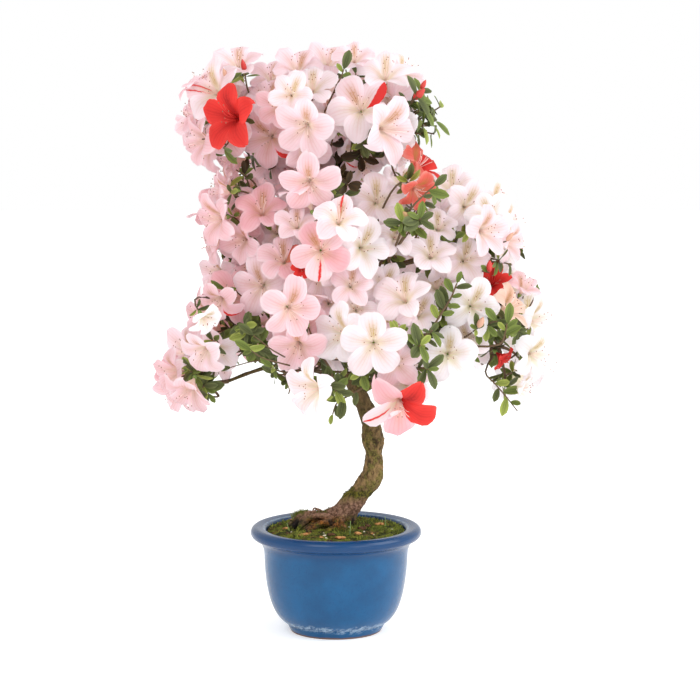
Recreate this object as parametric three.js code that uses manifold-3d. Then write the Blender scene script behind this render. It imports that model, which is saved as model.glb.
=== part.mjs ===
// Azalea bonsai in full flower: a leaning trunk on surface roots, boughs that carry
// masses of twigs, leaves and open five-lobed blossoms, and a round glazed pot of soil.
// Millimetres, +Z up, +X to the viewer's right, origin at the centre of the pot's underside.
import * as THREE from "three";
import { mergeVertices } from "three/addons/utils/BufferGeometryUtils.js";
import Module from "manifold-3d";

const wasm = await Module();
wasm.setup();

// Clearance left between neighbouring pieces.
const GAP = 0.3;

// Round pot: foot ring, swelling body, short neck and a rolled lip.
const ROUND_SEGMENTS = 28;
const POT_HEIGHT = 106;
const FOOT_RADIUS = 45.5;
const FOOT_TOP_RADIUS = 48.5;
const FOOT_HEIGHT = 6.5;
const NECK_RADIUS = 72;
const NECK_HEIGHT = 78;
const LIP_RADIUS = 85.5;
const LIP_ROLL = 6;
const MOUTH_RADIUS = 69.5;
const WALL = 7;
const FLOOR_HEIGHT = 12;

// Soil: flat round the trunk, falling to the wall.
const SOIL_TOP = 104;
const SOIL_EDGE = 99;
const SOIL_FLAT_RADIUS = 58;

// Trunk: way points of its middle line and the radius at each of them.
const TRUNK_SIDES = 8;
const TRUNK_RINGS = 30;
const TRUNK_LINE = [
  [3, 6, 92], [8, 5, 116], [23, 4, 137], [36, 3, 156], [38, 3, 178], [37.5, 3, 193],
  [34, 4, 213], [24, 5, 238], [9, 6, 272], [1, 4, 315], [5, 0, 362], [-4, 4, 412], [-17, 3, 448],
  [-23, -1, 468],
];
const TRUNK_RADII = [17, 13, 10.5, 11, 8.1, 11, 8.6, 8.3, 8, 7.2, 6.3, 5.2, 4.2, 3.5];

// Surface roots: way points and radii, fused to the trunk and cut off level with it.
const ROOTS = [
  { line: [[10, 6, 120], [-10, 6, 112.5], [-29, 5, 111.5], [-44, 3, 105]], radii: [11, 8.5, 8.5, 5] },
  { line: [[8, 5, 120], [6, -8, 108], [3, -21, 101]], radii: [10, 8.5, 5] },
  { line: [[8, 5, 116], [16, 16, 107], [22, 28, 101]], radii: [9, 7, 4] },
];

// Boughs: thickness at the trunk and at the tip, and how far they arch above a straight line.
const BOUGH_SIDES = 5;
const BOUGH_RINGS = 5;
const BOUGH_TIP_RADIUS = 2.3;
const BOUGH_ARCH = 0.1;

// Masses: the middle and half sizes of each one's space, the height at which its bough leaves
// the trunk (0 = it sits on the trunk's tip), the bough's radius there, and its show blossoms:
// each [right, up, diameter, turn to the right, lift, angle of the first lobe], with its place
// and size as they are seen from EYE in the upright plane through the pot's middle.
const MASSES = [
  { name: "crown_left", at: [-112, 0, 520], half: [52, 62, 62], leave: 448, radius: 3.4,
    show: [[-106, 512, 66, -37, 6, -9], [-128, 543, 60, -50, 36, 10], [-97, 570, 50, -10, 55, 0],
      [-71, 539, 56, -25, 45, 20], [-146, 521, 48, -75, 12, 0], [-141, 490, 52, -58, -4, 30],
      [-68, 491, 64, -18, -9, -30]] },
  { name: "crown_top", at: [-35, -25, 518], half: [55, 65, 65], leave: 0, radius: 0,
    show: [[-33, 501, 64, -16, -14, 12], [-23, 549, 54, 0, 42, 0], [-39, 568, 52, -10, 60, 20],
      [-9, 568, 48, 5, 60, 30]] },
  { name: "crown_right", at: [52, -10, 520], half: [58, 65, 62], leave: 430, radius: 3.6,
    show: [[28, 528, 58, 12, 40, 20], [56, 501, 62, 44, 0, 24], [50, 560, 54, 5, 50, 0],
      [75, 556, 46, 55, 30, 0], [92, 479, 42, 70, 35, 0]] },
  { name: "crown_back", at: [-25, 85, 490], half: [85, 60, 75], leave: 415, radius: 3.6,
    show: [] },
  { name: "mid_left", at: [-98, -10, 415], half: [52, 70, 55], leave: 352, radius: 4,
    show: [[-74, 430, 54, -6, 25, 0], [-123, 411, 50, -66, -5, 18], [-102, 384, 44, -48, -10, 36],
      [-120, 448, 48, -78, 6, 0]] },
  { name: "mid_front", at: [-15, -85, 408], half: [55, 52, 70], leave: 372, radius: 4,
    show: [[-32, 446, 56, -16, -12, -6], [3, 420, 54, 4, 35, 10], [-15, 381, 64, 0, 0, -31],
      [-55, 379, 52, -14, 38, 0]] },
  { name: "mid_right", at: [66, -70, 402], half: [55, 58, 62], leave: 340, radius: 4.2,
    show: [[42, 435, 58, 5, 20, 0], [36, 388, 60, 28, 4, 20], [95, 384, 52, 4, 36, 0],
      [81, 436, 44, 30, -8, 0]] },
  { name: "right_shoulder", at: [145, -5, 400], half: [56, 72, 60], leave: 322, radius: 4.6,
    show: [[114, 450, 56, -4, 36, 0], [134, 426, 56, 24, 5, 20], [155, 401, 56, 42, 0, 0],
      [173, 409, 54, 70, 10, 0], [130, 375, 54, 12, 16, 10]] },
  { name: "mid_back", at: [62, 92, 400], half: [82, 62, 66], leave: 330, radius: 4.4,
    show: [] },
  { name: "mid_back_left", at: [-72, 80, 388], half: [66, 58, 62], leave: 344, radius: 4,
    show: [] },
  { name: "low_left", at: [-100, -15, 315], half: [62, 75, 60], leave: 286, radius: 4.8,
    show: [[-77, 345, 65, -14, -3, -7], [-124, 357, 48, -55, 5, 0], [-118, 329, 42, -30, -24, 0],
      [-141, 316, 56, -52, 3, 0]] },
  { name: "far_left", at: [-148, -30, 262], half: [42, 48, 50], leave: 262, radius: 4.2,
    show: [[-162, 284, 44, -65, 12, 0], [-136, 276, 46, -34, -12, 0], [-174, 260, 44, -74, 0, 10],
      [-148, 232, 50, -20, -52, 0]] },
  { name: "low_front", at: [-28, -95, 290], half: [52, 52, 72], leave: 275, radius: 4.4,
    show: [[-42, 321, 64, 18, -10, 7], [-40, 282, 54, -6, -36, 0], [-35, 246, 60, -42, -10, 0]] },
  { name: "low_centre", at: [58, -95, 288], half: [52, 50, 74], leave: 262, radius: 4.6,
    show: [[-4, 301, 60, -56, 5, 0], [37, 293, 68, 0, 0, 0], [66, 230, 66, -4, -38, 10],
      [64, 342, 62, -20, 36, 0]] },
  { name: "low_right", at: [126, -45, 305], half: [50, 66, 62], leave: 252, radius: 5,
    show: [[114, 277, 62, 6, 0, 0], [138, 327, 60, 12, 6, 20]] },
  { name: "far_right", at: [186, 5, 298], half: [50, 64, 78], leave: 241, radius: 5.6,
    show: [[157, 348, 42, -16, 16, 0], [181, 343, 52, 60, 40, 0], [207, 312, 56, 56, 2, 0],
      [204, 276, 56, 40, -8, 20], [194, 243, 42, 70, -6, 0]] },
  { name: "back_left", at: [-70, 92, 300], half: [85, 65, 68], leave: 268, radius: 4.8,
    show: [] },
  { name: "back_right", at: [96, 95, 292], half: [85, 65, 68], leave: 247, radius: 4.8,
    show: [] },
];

// Show blossoms: the spot they are seen from, how far out in their masses they stand, and
// the steps by which they move along their lines of sight until none cuts another.
const EYE = [15, -2400, 496];
const SHOW_REACH = 0.8;
const SHOW_ROUNDS = 120;
const STEP_BACK = 2.5;
const STEP_FORWARD = 1.2;
const MOST_BACK = 45;
const MOST_FORWARD = 22;

// Blossoms: a funnel with five blunt lobes; depths and radii are shares of the bloom's radius.
const BLOOM_DIAMETER = 57;
const BLOOM_TRIES = 144;
const BLOOM_STRIDE = 55;
const BLOOM_SPACING = 0.86;
const OTHER_REACH = 0.8;
const NOTCH_SHARE = 0.6;
const NOTCH_DEPTH = 0.14;
const THROAT_DEPTH = 0.6;
const NECK_DEPTH = 0.84;
const LOBE_HALF_ANGLE = 20;
const TWIG_RADIUS = 1.2;
const STEM_RADIUS = 2.3;
const BEND_LENGTH = 3.5;
const STEM_LENGTH = 22;
const CORE_SHARE = 0.15;
const HEART_SHARE = 0.5;
const HEART_DROP = 60;
const CROWN_DEPTH = 10;

// Leaves: pointed blades just behind the blossoms and in whorls at the ends of leafy shoots.
const LEAF_LENGTH = 22;
const LEAF_WIDTH = 9.5;
const LEAF_THICKNESS = 1;
const BLOOM_LEAVES = 1;
const SHOOTS = 2;
const SHOOT_TRIES = 60;
const SHOOT_STRIDE = 23;

// Colours and finish of each kind of piece.
const GLAZE = { color: 0x3f6fa3, roughness: 0.25 };
const SOIL = { color: 0x5c5a2a, roughness: 0.95 };
const BARK = { color: 0x6b5138, roughness: 0.9 };
const PETALS = { color: 0xf3d3d4, roughness: 0.7 };

// A repeatable stream of numbers from 0 to 1.
function seeded(seed) {
  let state = seed;
  return () => {
    state = (Math.imul(state, 1664525) + 1013904223) >>> 0;
    return state / 4294967296;
  };
}

const vec = (p) => new THREE.Vector3(p[0], p[1], p[2]);

// A closed solid from positions and triangle corners, turned right side out.
function solid(positions, corners) {
  const vertProperties = new Float32Array(positions);
  const make = (order) => {
    const mesh = new wasm.Mesh({ numProp: 3, vertProperties, triVerts: new Uint32Array(order) });
    return new wasm.Manifold(mesh);
  };
  const made = make(corners);
  return made.volume() > 0 ? made : make(corners.slice().reverse());
}

// A closed solid from a three.js geometry.
function solidFromGeometry(geometry) {
  geometry.deleteAttribute("normal");
  geometry.deleteAttribute("uv");
  const merged = mergeVertices(geometry, 1e-4);
  return solid(Array.from(merged.attributes.position.array), Array.from(merged.index.array));
}

// The largest body of a solid, with sealed hollows filled and loose scraps dropped.
function mainBody(made) {
  const bodies = made.decompose();
  bodies.sort((a, b) => b.volume() - a.volume());
  return bodies[0];
}

// A named mesh with its own material from a solid.
function pieceFrom(name, made, finish) {
  const mesh = made.getMesh();
  const geometry = new THREE.BufferGeometry();
  geometry.setAttribute("position", new THREE.BufferAttribute(new Float32Array(mesh.vertProperties), 3));
  geometry.setIndex(Array.from(mesh.triVerts));
  geometry.computeVertexNormals();
  const material = new THREE.MeshStandardMaterial({ ...finish, metalness: 0 });
  const piece = new THREE.Mesh(geometry, material);
  piece.name = name;
  return piece;
}

// Inner outline of the pot, from the mouth down to the floor, drawn in by an inset.
function innerWall(path, inset, top) {
  const wide = NECK_RADIUS - WALL - inset;
  path.lineTo(wide, top);
  path.bezierCurveTo(wide, 45, 60 - inset, 24, 44 - inset, FLOOR_HEIGHT + inset);
  path.lineTo(0, FLOOR_HEIGHT + inset);
}

// A solid of revolution about Z from an outline that starts and ends on the axis.
function turned(path, divisions) {
  const geometry = new THREE.LatheGeometry(path.getPoints(divisions), ROUND_SEGMENTS);
  geometry.rotateX(Math.PI / 2);
  return solidFromGeometry(geometry);
}

function makePot() {
  const lipMiddle = LIP_RADIUS - LIP_ROLL;
  const lipHeight = POT_HEIGHT - LIP_ROLL;
  const path = new THREE.Path();
  path.moveTo(0, 0);
  path.lineTo(FOOT_RADIUS, 0);
  path.lineTo(FOOT_TOP_RADIUS, FOOT_HEIGHT);
  path.bezierCurveTo(64, 16, NECK_RADIUS - 1, 40, NECK_RADIUS, NECK_HEIGHT);
  path.bezierCurveTo(NECK_RADIUS + 0.5, 86, 75, 92, lipMiddle + 3, lipHeight - 5.2);
  path.absarc(lipMiddle, lipHeight, LIP_ROLL, -Math.PI / 3, Math.PI / 2, false);
  path.lineTo(MOUTH_RADIUS, POT_HEIGHT - 3.2);
  path.lineTo(MOUTH_RADIUS, SOIL_EDGE - 4);
  innerWall(path, 0, SOIL_EDGE - 16);
  return turned(path, 3);
}

function makeSoil() {
  const edge = MOUTH_RADIUS - GAP;
  const path = new THREE.Path();
  path.moveTo(0, SOIL_TOP);
  path.lineTo(SOIL_FLAT_RADIUS, SOIL_TOP);
  path.lineTo(edge, SOIL_EDGE);
  path.lineTo(edge, SOIL_EDGE - 4 + GAP);
  innerWall(path, GAP, SOIL_EDGE - 16);
  return turned(path, 3);
}

// A value that runs smoothly through a row of values, for a share from 0 to 1.
function runThrough(values, share) {
  const place = Math.min(share, 0.999999) * (values.length - 1);
  const index = Math.floor(place);
  const t = place - index;
  const ease = t * t * (3 - 2 * t);
  return values[index] + (values[index + 1] - values[index]) * ease;
}

// Middle line and radii of a limb at even steps along its way points.
function limbRings(line, radii, rings) {
  const curve = new THREE.CatmullRomCurve3(line.map(vec));
  const centres = [];
  const sizes = [];
  for (let i = 0; i <= rings; i += 1) {
    centres.push(curve.getPoint(i / rings));
    sizes.push(runThrough(radii, i / rings));
  }
  return { centres, sizes };
}

// A tapering limb: many-sided rings carried along a middle line and closed at both ends.
function limb({ centres, sizes }, sides, swell = 0) {
  const positions = [];
  const corners = [];
  const side = new THREE.Vector3(0, 1, 0);
  const count = centres.length;
  for (let i = 0; i < count; i += 1) {
    const ahead = centres[Math.min(i + 1, count - 1)].clone().sub(centres[Math.max(i - 1, 0)]).normalize();
    side.addScaledVector(ahead, -side.dot(ahead)).normalize();
    const across = ahead.clone().cross(side);
    for (let k = 0; k < sides; k += 1) {
      const angle = (2 * Math.PI * k) / sides;
      const reach = sizes[i] + swell;
      const point = centres[i].clone();
      point.addScaledVector(side, reach * Math.cos(angle)).addScaledVector(across, reach * Math.sin(angle));
      positions.push(point.x, point.y, point.z);
      const next = (k + 1) % sides;
      if (i < count - 1) {
        const low = i * sides;
        corners.push(low + k, low + next, low + sides + k);
        corners.push(low + next, low + sides + next, low + sides + k);
      }
    }
  }
  const last = (count - 1) * sides;
  for (let k = 1; k < sides - 1; k += 1) {
    corners.push(0, k + 1, k, last, last + k, last + k + 1);
  }
  return solid(positions, corners);
}

const trunkRings = limbRings(TRUNK_LINE, TRUNK_RADII, TRUNK_RINGS);
const rootRings = ROOTS.map((root) => limbRings(root.line, root.radii, 5));

// Trunk and surface roots in one, cut flat just above the soil.
function makeTrunk(swell) {
  let made = limb(trunkRings, TRUNK_SIDES, swell);
  for (const rings of rootRings) {
    made = made.add(limb(rings, 7, swell));
  }
  const below = new THREE.BoxGeometry(400, 400, 100);
  below.translate(0, 0, SOIL_TOP + GAP - 50);
  return mainBody(made.subtract(solidFromGeometry(below)));
}

// Point of the trunk's middle line at a height.
function trunkAt(height) {
  const { centres } = trunkRings;
  const index = centres.findIndex((point) => point.z >= height);
  const low = centres[index - 1];
  const share = (height - low.z) / (centres[index].z - low.z);
  return low.clone().lerp(centres[index], share);
}

// How far a point lies from the middle of a mass, 1 at the skin of its space.
function reachOf(mass, point) {
  const d = point.clone().sub(vec(mass.at));
  return Math.hypot(d.x / mass.half[0], d.y / mass.half[1], d.z / mass.half[2]);
}

// The heart of a mass, where its twigs meet: drawn from its middle towards the inside of the crown.
function heartOf(mass) {
  const inward = new THREE.Vector3(0, CROWN_DEPTH, mass.at[2] - HEART_DROP).sub(vec(mass.at)).normalize();
  return vec(mass.at).add(inward.multiply(vec(mass.half)).multiplyScalar(HEART_SHARE));
}

// Where a mass's bough or the trunk's tip hands over to its stem.
function entryOf(mass, from) {
  const heart = heartOf(mass);
  return heart.clone().lerp(from, Math.min(STEM_LENGTH / heart.distanceTo(from), 0.5));
}

// A bough from the trunk to the entry of its mass, arched a little and kept clear of the trunk.
function boughRings(mass) {
  const from = trunkAt(mass.leave);
  const to = entryOf(mass, from);
  const arch = from.distanceTo(to) * BOUGH_ARCH;
  const line = [from.toArray()];
  for (const share of [0.35, 0.7]) {
    const point = from.clone().lerp(to, share);
    point.z += arch * (share < 0.5 ? 1 : 0.8);
    line.push(point.toArray());
  }
  line.push(to.toArray());
  return limbRings(line, [mass.radius, mass.radius * 0.8, 2.8, BOUGH_TIP_RADIUS], BOUGH_RINGS);
}

// The stem of a mass: from just past its bough's tip to its heart.
function stemRings(mass, carrier) {
  const count = carrier.centres.length;
  const tip = carrier.centres[count - 1];
  const ahead = tip.clone().sub(carrier.centres[count - 2]).normalize();
  const start = tip.clone().addScaledVector(ahead, GAP);
  const heart = heartOf(mass);
  const bend = start.clone().addScaledVector(ahead, 0.35 * start.distanceTo(heart));
  const centres = [start, start.clone().addScaledVector(ahead, 3), bend, heart];
  return { centres, sizes: [STEM_RADIUS, STEM_RADIUS, STEM_RADIUS * 0.9, STEM_RADIUS * 0.7] };
}

// Points and radii along every limb, to keep twigs, leaves and petals off them.
const limbPoints = [];
function noteLimb({ centres, sizes }) {
  for (let i = 0; i < centres.length - 1; i += 1) {
    const steps = Math.ceil(centres[i].distanceTo(centres[i + 1]) / 3);
    for (let k = 0; k <= steps; k += 1) {
      const share = k / steps;
      const radius = sizes[i] + (sizes[i + 1] - sizes[i]) * share;
      limbPoints.push({ point: centres[i].clone().lerp(centres[i + 1], share), radius });
    }
  }
}

function isClear(points, distance) {
  return points.every((point) =>
    limbPoints.every((other) => point.distanceTo(other.point) > other.radius + distance));
}

// Solids already in place, each with the mass or limb that it belongs to.
const inPlace = [];
function note(made, owner) {
  inPlace.push({ made, owner, box: made.boundingBox() });
}

// Whether a new solid of a mass stays clear of every limb and of every other mass.
function hasRoom(made, owner) {
  const box = made.boundingBox();
  const past = (low, high) => [0, 1, 2].some((k) => low.max[k] + GAP < high.min[k]);
  return inPlace.every((other) => {
    const apart = past(box, other.box) || past(other.box, box);
    return apart || other.owner === owner || made.minGap(other.made, 2 * GAP) >= GAP;
  });
}

// Two directions square to a third, the first as near to upright as it can be.
function squareTo(facing) {
  const up = Math.abs(facing.z) > 0.95 ? new THREE.Vector3(0, 1, 0) : new THREE.Vector3(0, 0, 1);
  const across = up.clone().cross(facing).normalize();
  return { across, upright: facing.clone().cross(across) };
}

// Rim, throat, neck and twig root of a blossom; the rim has a notch and two shoulders a lobe.
function bloomPoints(bloom) {
  const { middle, facing, radius, first } = bloom;
  const { across, upright } = squareTo(facing);
  const place = (angle, out, depth) => {
    const turn = (angle * Math.PI) / 180;
    const point = middle.clone().addScaledVector(facing, -depth * radius);
    point.addScaledVector(across, out * radius * Math.sin(turn));
    return point.addScaledVector(upright, out * radius * Math.cos(turn));
  };
  const rim = [];
  for (let petal = 0; petal < 5; petal += 1) {
    const angle = first + petal * 72;
    rim.push(place(angle - LOBE_HALF_ANGLE, 1, 0));
    rim.push(place(angle + LOBE_HALF_ANGLE, 1, 0));
    rim.push(place(angle + 36, NOTCH_SHARE, NOTCH_DEPTH));
  }
  const throat = place(0, 0, THROAT_DEPTH);
  const neck = [0, 1, 2].map((k) => place(first + k * 120, (1.6 * TWIG_RADIUS) / radius, NECK_DEPTH));
  return { rim, throat, neck };
}

const neckOf = (bloom) => bloom.middle.clone().addScaledVector(bloom.facing, -NECK_DEPTH * bloom.radius);

// Points of a blossom that are tried against walls, limbs and other blossoms.
function bloomProbes(bloom) {
  const { rim, throat, neck } = bloomPoints(bloom);
  const halfway = rim.map((point) => point.clone().lerp(throat, 0.5));
  return [...rim, ...halfway, throat, neck[0]];
}

// Points along a blossom's twig: out of the core, then a bend into line with the blossom.
function twigLine(bloom) {
  const end = neckOf(bloom);
  const bend = end.clone().addScaledVector(bloom.facing, -BEND_LENGTH);
  return [bloom.root, bend, end];
}

function twigProbes(line) {
  const probes = [];
  for (let i = 0; i < line.length - 1; i += 1) {
    for (const share of [0.3, 0.6, 0.9]) {
      probes.push(line[i].clone().lerp(line[i + 1], share));
    }
  }
  return probes;
}

// The place just under a core's skin that a twig to a point springs from.
function springFrom(mass, end) {
  const heart = heartOf(mass);
  const out = end.clone().sub(heart).normalize();
  return heart.add(out.multiply(vec(mass.half)).multiplyScalar(CORE_SHARE * 0.6));
}

// Whether points lie on both sides of a blossom's petals.
function crosses(points, bloom) {
  let front = false;
  let behind = false;
  for (const point of points) {
    const offset = point.clone().sub(bloom.middle);
    const height = offset.dot(bloom.facing);
    const out = Math.sqrt(Math.max(offset.lengthSq() - height * height, 0)) / bloom.radius;
    if (out < 1.05) {
      const above = height / bloom.radius + THROAT_DEPTH * (1 - out);
      front = front || (above > 0 && height < bloom.radius);
      behind = behind || above <= 0;
    }
  }
  return front && behind;
}

// Draws a blossom into its mass's space and gives it a twig; false where it has no room.
function settle(mass, bloom) {
  for (let k = 0; k < 8; k += 1) {
    const reaches = bloomProbes(bloom).map((point) => reachOf(mass, point));
    const shrink = Math.min(1 / Math.max(...reaches), 1);
    bloom.middle.sub(vec(mass.at)).multiplyScalar(shrink).add(vec(mass.at));
  }
  return MASSES.every((other) => other === mass || reachOf(other, bloom.middle) > OTHER_REACH);
}

// How straight a blossom's twig comes to it from behind: 1 in line with it, below 0 from the front.
function approach(bloom) {
  bloom.root = springFrom(bloom.mass, neckOf(bloom).addScaledVector(bloom.facing, -BEND_LENGTH));
  const [root, bend] = twigLine(bloom);
  return bend.clone().sub(root).normalize().dot(bloom.facing);
}

// Whether a blossom and its twig keep clear of the limbs, with the twig coming in from behind.
function stands(bloom) {
  return approach(bloom) > 0 && isClear([...bloomProbes(bloom), ...twigProbes(twigLine(bloom))], 1.6);
}

// Whether a blossom stands too near to one of those placed, or cuts through it.
function isCrowded(bloom, placed) {
  const probes = [...bloomProbes(bloom), ...twigProbes(twigLine(bloom))];
  return placed.some((other) => {
    const distance = other.middle.distanceTo(bloom.middle);
    const reach = other.radius + bloom.radius;
    const others = [...bloomProbes(other), ...twigProbes(twigLine(other))];
    const cuts = distance < 2 * reach && (crosses(probes, other) || crosses(others, bloom));
    return distance < BLOOM_SPACING * reach || cuts;
  });
}

// A show blossom from its row of sizes, not yet at its depth.
function showBloom(mass, [right, up, diameter, turn, lift, first]) {
  const side = THREE.MathUtils.degToRad(turn);
  const rise = THREE.MathUtils.degToRad(lift);
  const level = Math.cos(rise);
  const facing = new THREE.Vector3(Math.sin(side) * level, -Math.cos(side) * level, Math.sin(rise));
  const seen = new THREE.Vector3(right, 0, up);
  return { mass, owner: mass.name, seen, seenRadius: diameter / 2, facing, first, leafy: {} };
}

// Puts a show blossom at a depth along its line of sight, with the size that it then has.
function setDepth(bloom, depth) {
  const share = (depth - EYE[1]) / -EYE[1];
  bloom.depth = depth;
  bloom.middle = vec(EYE).lerp(bloom.seen, share);
  bloom.radius = bloom.seenRadius * share;
}

// The depth nearest to the viewer at which a show blossom lies within its mass's space.
function frontDepth(bloom) {
  const { at, half } = bloom.mass;
  let best = at[1];
  let least = Infinity;
  for (let depth = at[1] + 10; depth > at[1] - half[1]; depth -= 1) {
    setDepth(bloom, depth);
    const over = Math.max(reachOf(bloom.mass, bloom.middle) - SHOW_REACH, 0);
    if (over <= least) {
      least = over;
      best = depth;
    }
  }
  return best;
}

// The furthest depth at which its twig still comes to a show blossom from behind.
function backDepth(bloom, front) {
  for (let depth = front + MOST_BACK; depth > front - 2 * MOST_BACK; depth -= 1) {
    setDepth(bloom, depth);
    if (approach(bloom) > 0.15) {
      return depth;
    }
  }
  return front;
}

// Whether two show blossoms cut into each other.
function cut(one, other) {
  const near = one.middle.distanceTo(other.middle) < one.radius + other.radius + 8;
  return near && (crosses(bloomProbes(one), other) || crosses(bloomProbes(other), one));
}

// Moves two show blossoms apart along their lines of sight, the nearer one less than the other.
function moveApart(one, other) {
  const [near, far] = one.depth < other.depth ? [one, other] : [other, one];
  setDepth(far, Math.min(far.depth + STEP_BACK, far.furthest));
  setDepth(near, Math.max(near.depth - STEP_FORWARD, near.nearest));
}

// The show blossoms of all masses at their depths.
function makeShow() {
  const blooms = MASSES.flatMap((mass) => mass.show.map((row) => showBloom(mass, row)));
  for (const bloom of blooms) {
    const front = frontDepth(bloom);
    bloom.furthest = backDepth(bloom, front);
    setDepth(bloom, Math.min(front, bloom.furthest));
    bloom.nearest = bloom.depth - MOST_FORWARD;
  }
  for (let round = 0; round < SHOW_ROUNDS; round += 1) {
    blooms.forEach((one, index) => {
      for (const other of blooms.slice(index + 1).filter((next) => cut(one, next))) {
        moveApart(one, other);
      }
    });
  }
  return blooms;
}

// A direction of an even spread over the sphere.
function spread(index, count, phase) {
  const z = 1 - (2 * index + 1) / count;
  const angle = index * 2.399963 + phase * 2 * Math.PI;
  const level = Math.sqrt(1 - z * z);
  return new THREE.Vector3(level * Math.cos(angle), level * Math.sin(angle), z);
}

// Keeps those show blossoms that have room.
function growShow(placed) {
  for (const bloom of makeShow()) {
    if (stands(bloom) && hasRoom(bloomSolid(bloom), bloom.owner)) {
      placed.push(bloom);
      note(bloomSolid(bloom), bloom.owner);
    }
  }
}

// Further blossoms of a mass, spread evenly over the rest of its skin.
function growBlooms(mass, placed, draw) {
  const phase = draw();
  for (let i = 0; i < BLOOM_TRIES; i += 1) {
    const out = spread((i * BLOOM_STRIDE) % BLOOM_TRIES, BLOOM_TRIES, phase);
    const radius = (BLOOM_DIAMETER / 2) * (0.86 + 0.26 * draw());
    const first = 72 * draw();
    const facing = out.clone().add(new THREE.Vector3(draw() - 0.5, draw() - 0.5, 0.7 * draw() - 0.1));
    const middle = vec(mass.at).add(out.multiply(vec(mass.half)).multiplyScalar(0.9));
    const bloom = { mass, owner: mass.name, middle, facing: facing.normalize(), radius, first, leafy: {} };
    if (settle(mass, bloom) && stands(bloom) && !isCrowded(bloom, placed)) {
      if (hasRoom(bloomSolid(bloom), mass.name)) {
        placed.push(bloom);
        note(bloomSolid(bloom), mass.name);
      }
    }
  }
}

// Adds a leaf to a mesh in the making: it grows out of the four-cornered side face of a twig,
// is widest halfway along and ends in a point.
function addLeaf(points, corners, face, leaf) {
  const base = points.length;
  points.push(...leafPoints(face.map((index) => points[index]), leaf));
  for (let k = 0; k < 4; k += 1) {
    const next = (k + 1) % 4;
    corners.push(face[k], face[next], base + k);
    corners.push(face[next], base + next, base + k);
    corners.push(base + k, base + next, base + 4);
  }
}

// The four widest points and the tip of a leaf that leaves a twig's side face.
function leafPoints(face, leaf) {
  const [a, b, c, d] = face;
  const root = a.clone().add(b).add(c).add(d).divideScalar(4);
  const ahead = a.clone().add(b).sub(c).sub(d).normalize();
  const side = b.clone().add(c).sub(a).sub(d).normalize();
  const out = side.clone().cross(ahead);
  const sign = Math.sign(out.dot(root.clone().sub(leaf.middle))) || 1;
  const along = out.multiplyScalar(sign).addScaledVector(ahead, leaf.lean).normalize();
  const roof = ahead.addScaledVector(along, -ahead.dot(along)).normalize();
  const widest = root.clone().addScaledVector(along, 0.5 * LEAF_LENGTH);
  return [
    widest.clone().addScaledVector(roof, LEAF_THICKNESS / 2),
    widest.clone().addScaledVector(side, LEAF_WIDTH / 2),
    widest.clone().addScaledVector(roof, -LEAF_THICKNESS / 2),
    widest.clone().addScaledVector(side, -LEAF_WIDTH / 2),
    root.clone().addScaledVector(along, LEAF_LENGTH),
  ];
}

// Closes a row of rings into corners; faces listed in leafy carry a leaf instead of a flat side.
function addSides(points, corners, start, sides, leafy) {
  for (let k = 0; k < sides; k += 1) {
    const a = start + k;
    const b = start + ((k + 1) % sides);
    const face = [b, a, a + sides, b + sides];
    if (leafy[k]) {
      addLeaf(points, corners, face, leafy[k]);
    } else {
      corners.push(face[0], face[1], face[2], face[0], face[2], face[3]);
    }
  }
}

// A blossom with its twig, and any leaves just behind it, as one closed solid.
function bloomSolid(bloom) {
  const { rim, throat } = bloomPoints(bloom);
  const points = [...rim, throat, ...twigCorners(bloom)];
  const corners = [];
  const count = rim.length;
  for (let i = 0; i < count; i += 1) {
    const next = (i + 1) % count;
    const low = count + 1 + Math.floor((i * 3) / count);
    const lowNext = count + 1 + Math.floor((next * 3) / count);
    corners.push(i, next, count, next, i, low);
    if (low !== lowNext) {
      corners.push(next, low, lowNext);
    }
  }
  addSides(points, corners, count + 1, 3, bloom.leafy);
  addSides(points, corners, count + 4, 3, {});
  corners.push(count + 7, count + 9, count + 8);
  return solid(points.flatMap((point) => point.toArray()), corners);
}

// Corners of a blossom's twig: at its neck, at the bend and at its root.
function twigCorners(bloom) {
  const { neck } = bloomPoints(bloom);
  const [root, bend, end] = twigLine(bloom);
  const moved = (to) => neck.map((point) => point.clone().sub(end).multiplyScalar(0.7).add(to));
  return [...neck, ...moved(bend), ...moved(root)];
}

// A leafy shoot: a four-sided twig with a leaf on each side near its end.
function shootSolid(shoot) {
  const points = shootCorners(shoot);
  const corners = [0, 1, 2, 0, 2, 3, 8, 10, 9, 8, 11, 10];
  addSides(points, corners, 0, 4, shoot.leafy);
  addSides(points, corners, 4, 4, {});
  return solid(points.flatMap((point) => point.toArray()), corners);
}

// Corners of a leafy shoot's twig: at its end, a little below it, and at its root.
function shootCorners({ root, end, turn }) {
  const ahead = end.clone().sub(root).normalize();
  const { across, upright } = squareTo(ahead);
  const below = end.clone().addScaledVector(ahead, -3);
  const points = [];
  for (const [place, radius] of [[end, TWIG_RADIUS], [below, TWIG_RADIUS * 1.2], [root, TWIG_RADIUS]]) {
    for (let k = 0; k < 4; k += 1) {
      const angle = turn + (k * Math.PI) / 2;
      const point = place.clone().addScaledVector(across, radius * Math.sin(angle));
      points.push(point.addScaledVector(upright, radius * Math.cos(angle)));
    }
  }
  return points;
}

// Whether a leaf on a twig's side face keeps clear of limbs and petals.
function leafFits(points, face, leaf, placed) {
  const corners = face.map((index) => points[index]);
  const probes = leafPoints(corners, leaf);
  probes.push(probes[1].clone().lerp(corners[0], 0.5), probes[3].clone().lerp(probes[4], 0.5));
  return isClear(probes, 1.2) && !placed.some((bloom) => crosses(probes, bloom));
}

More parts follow.
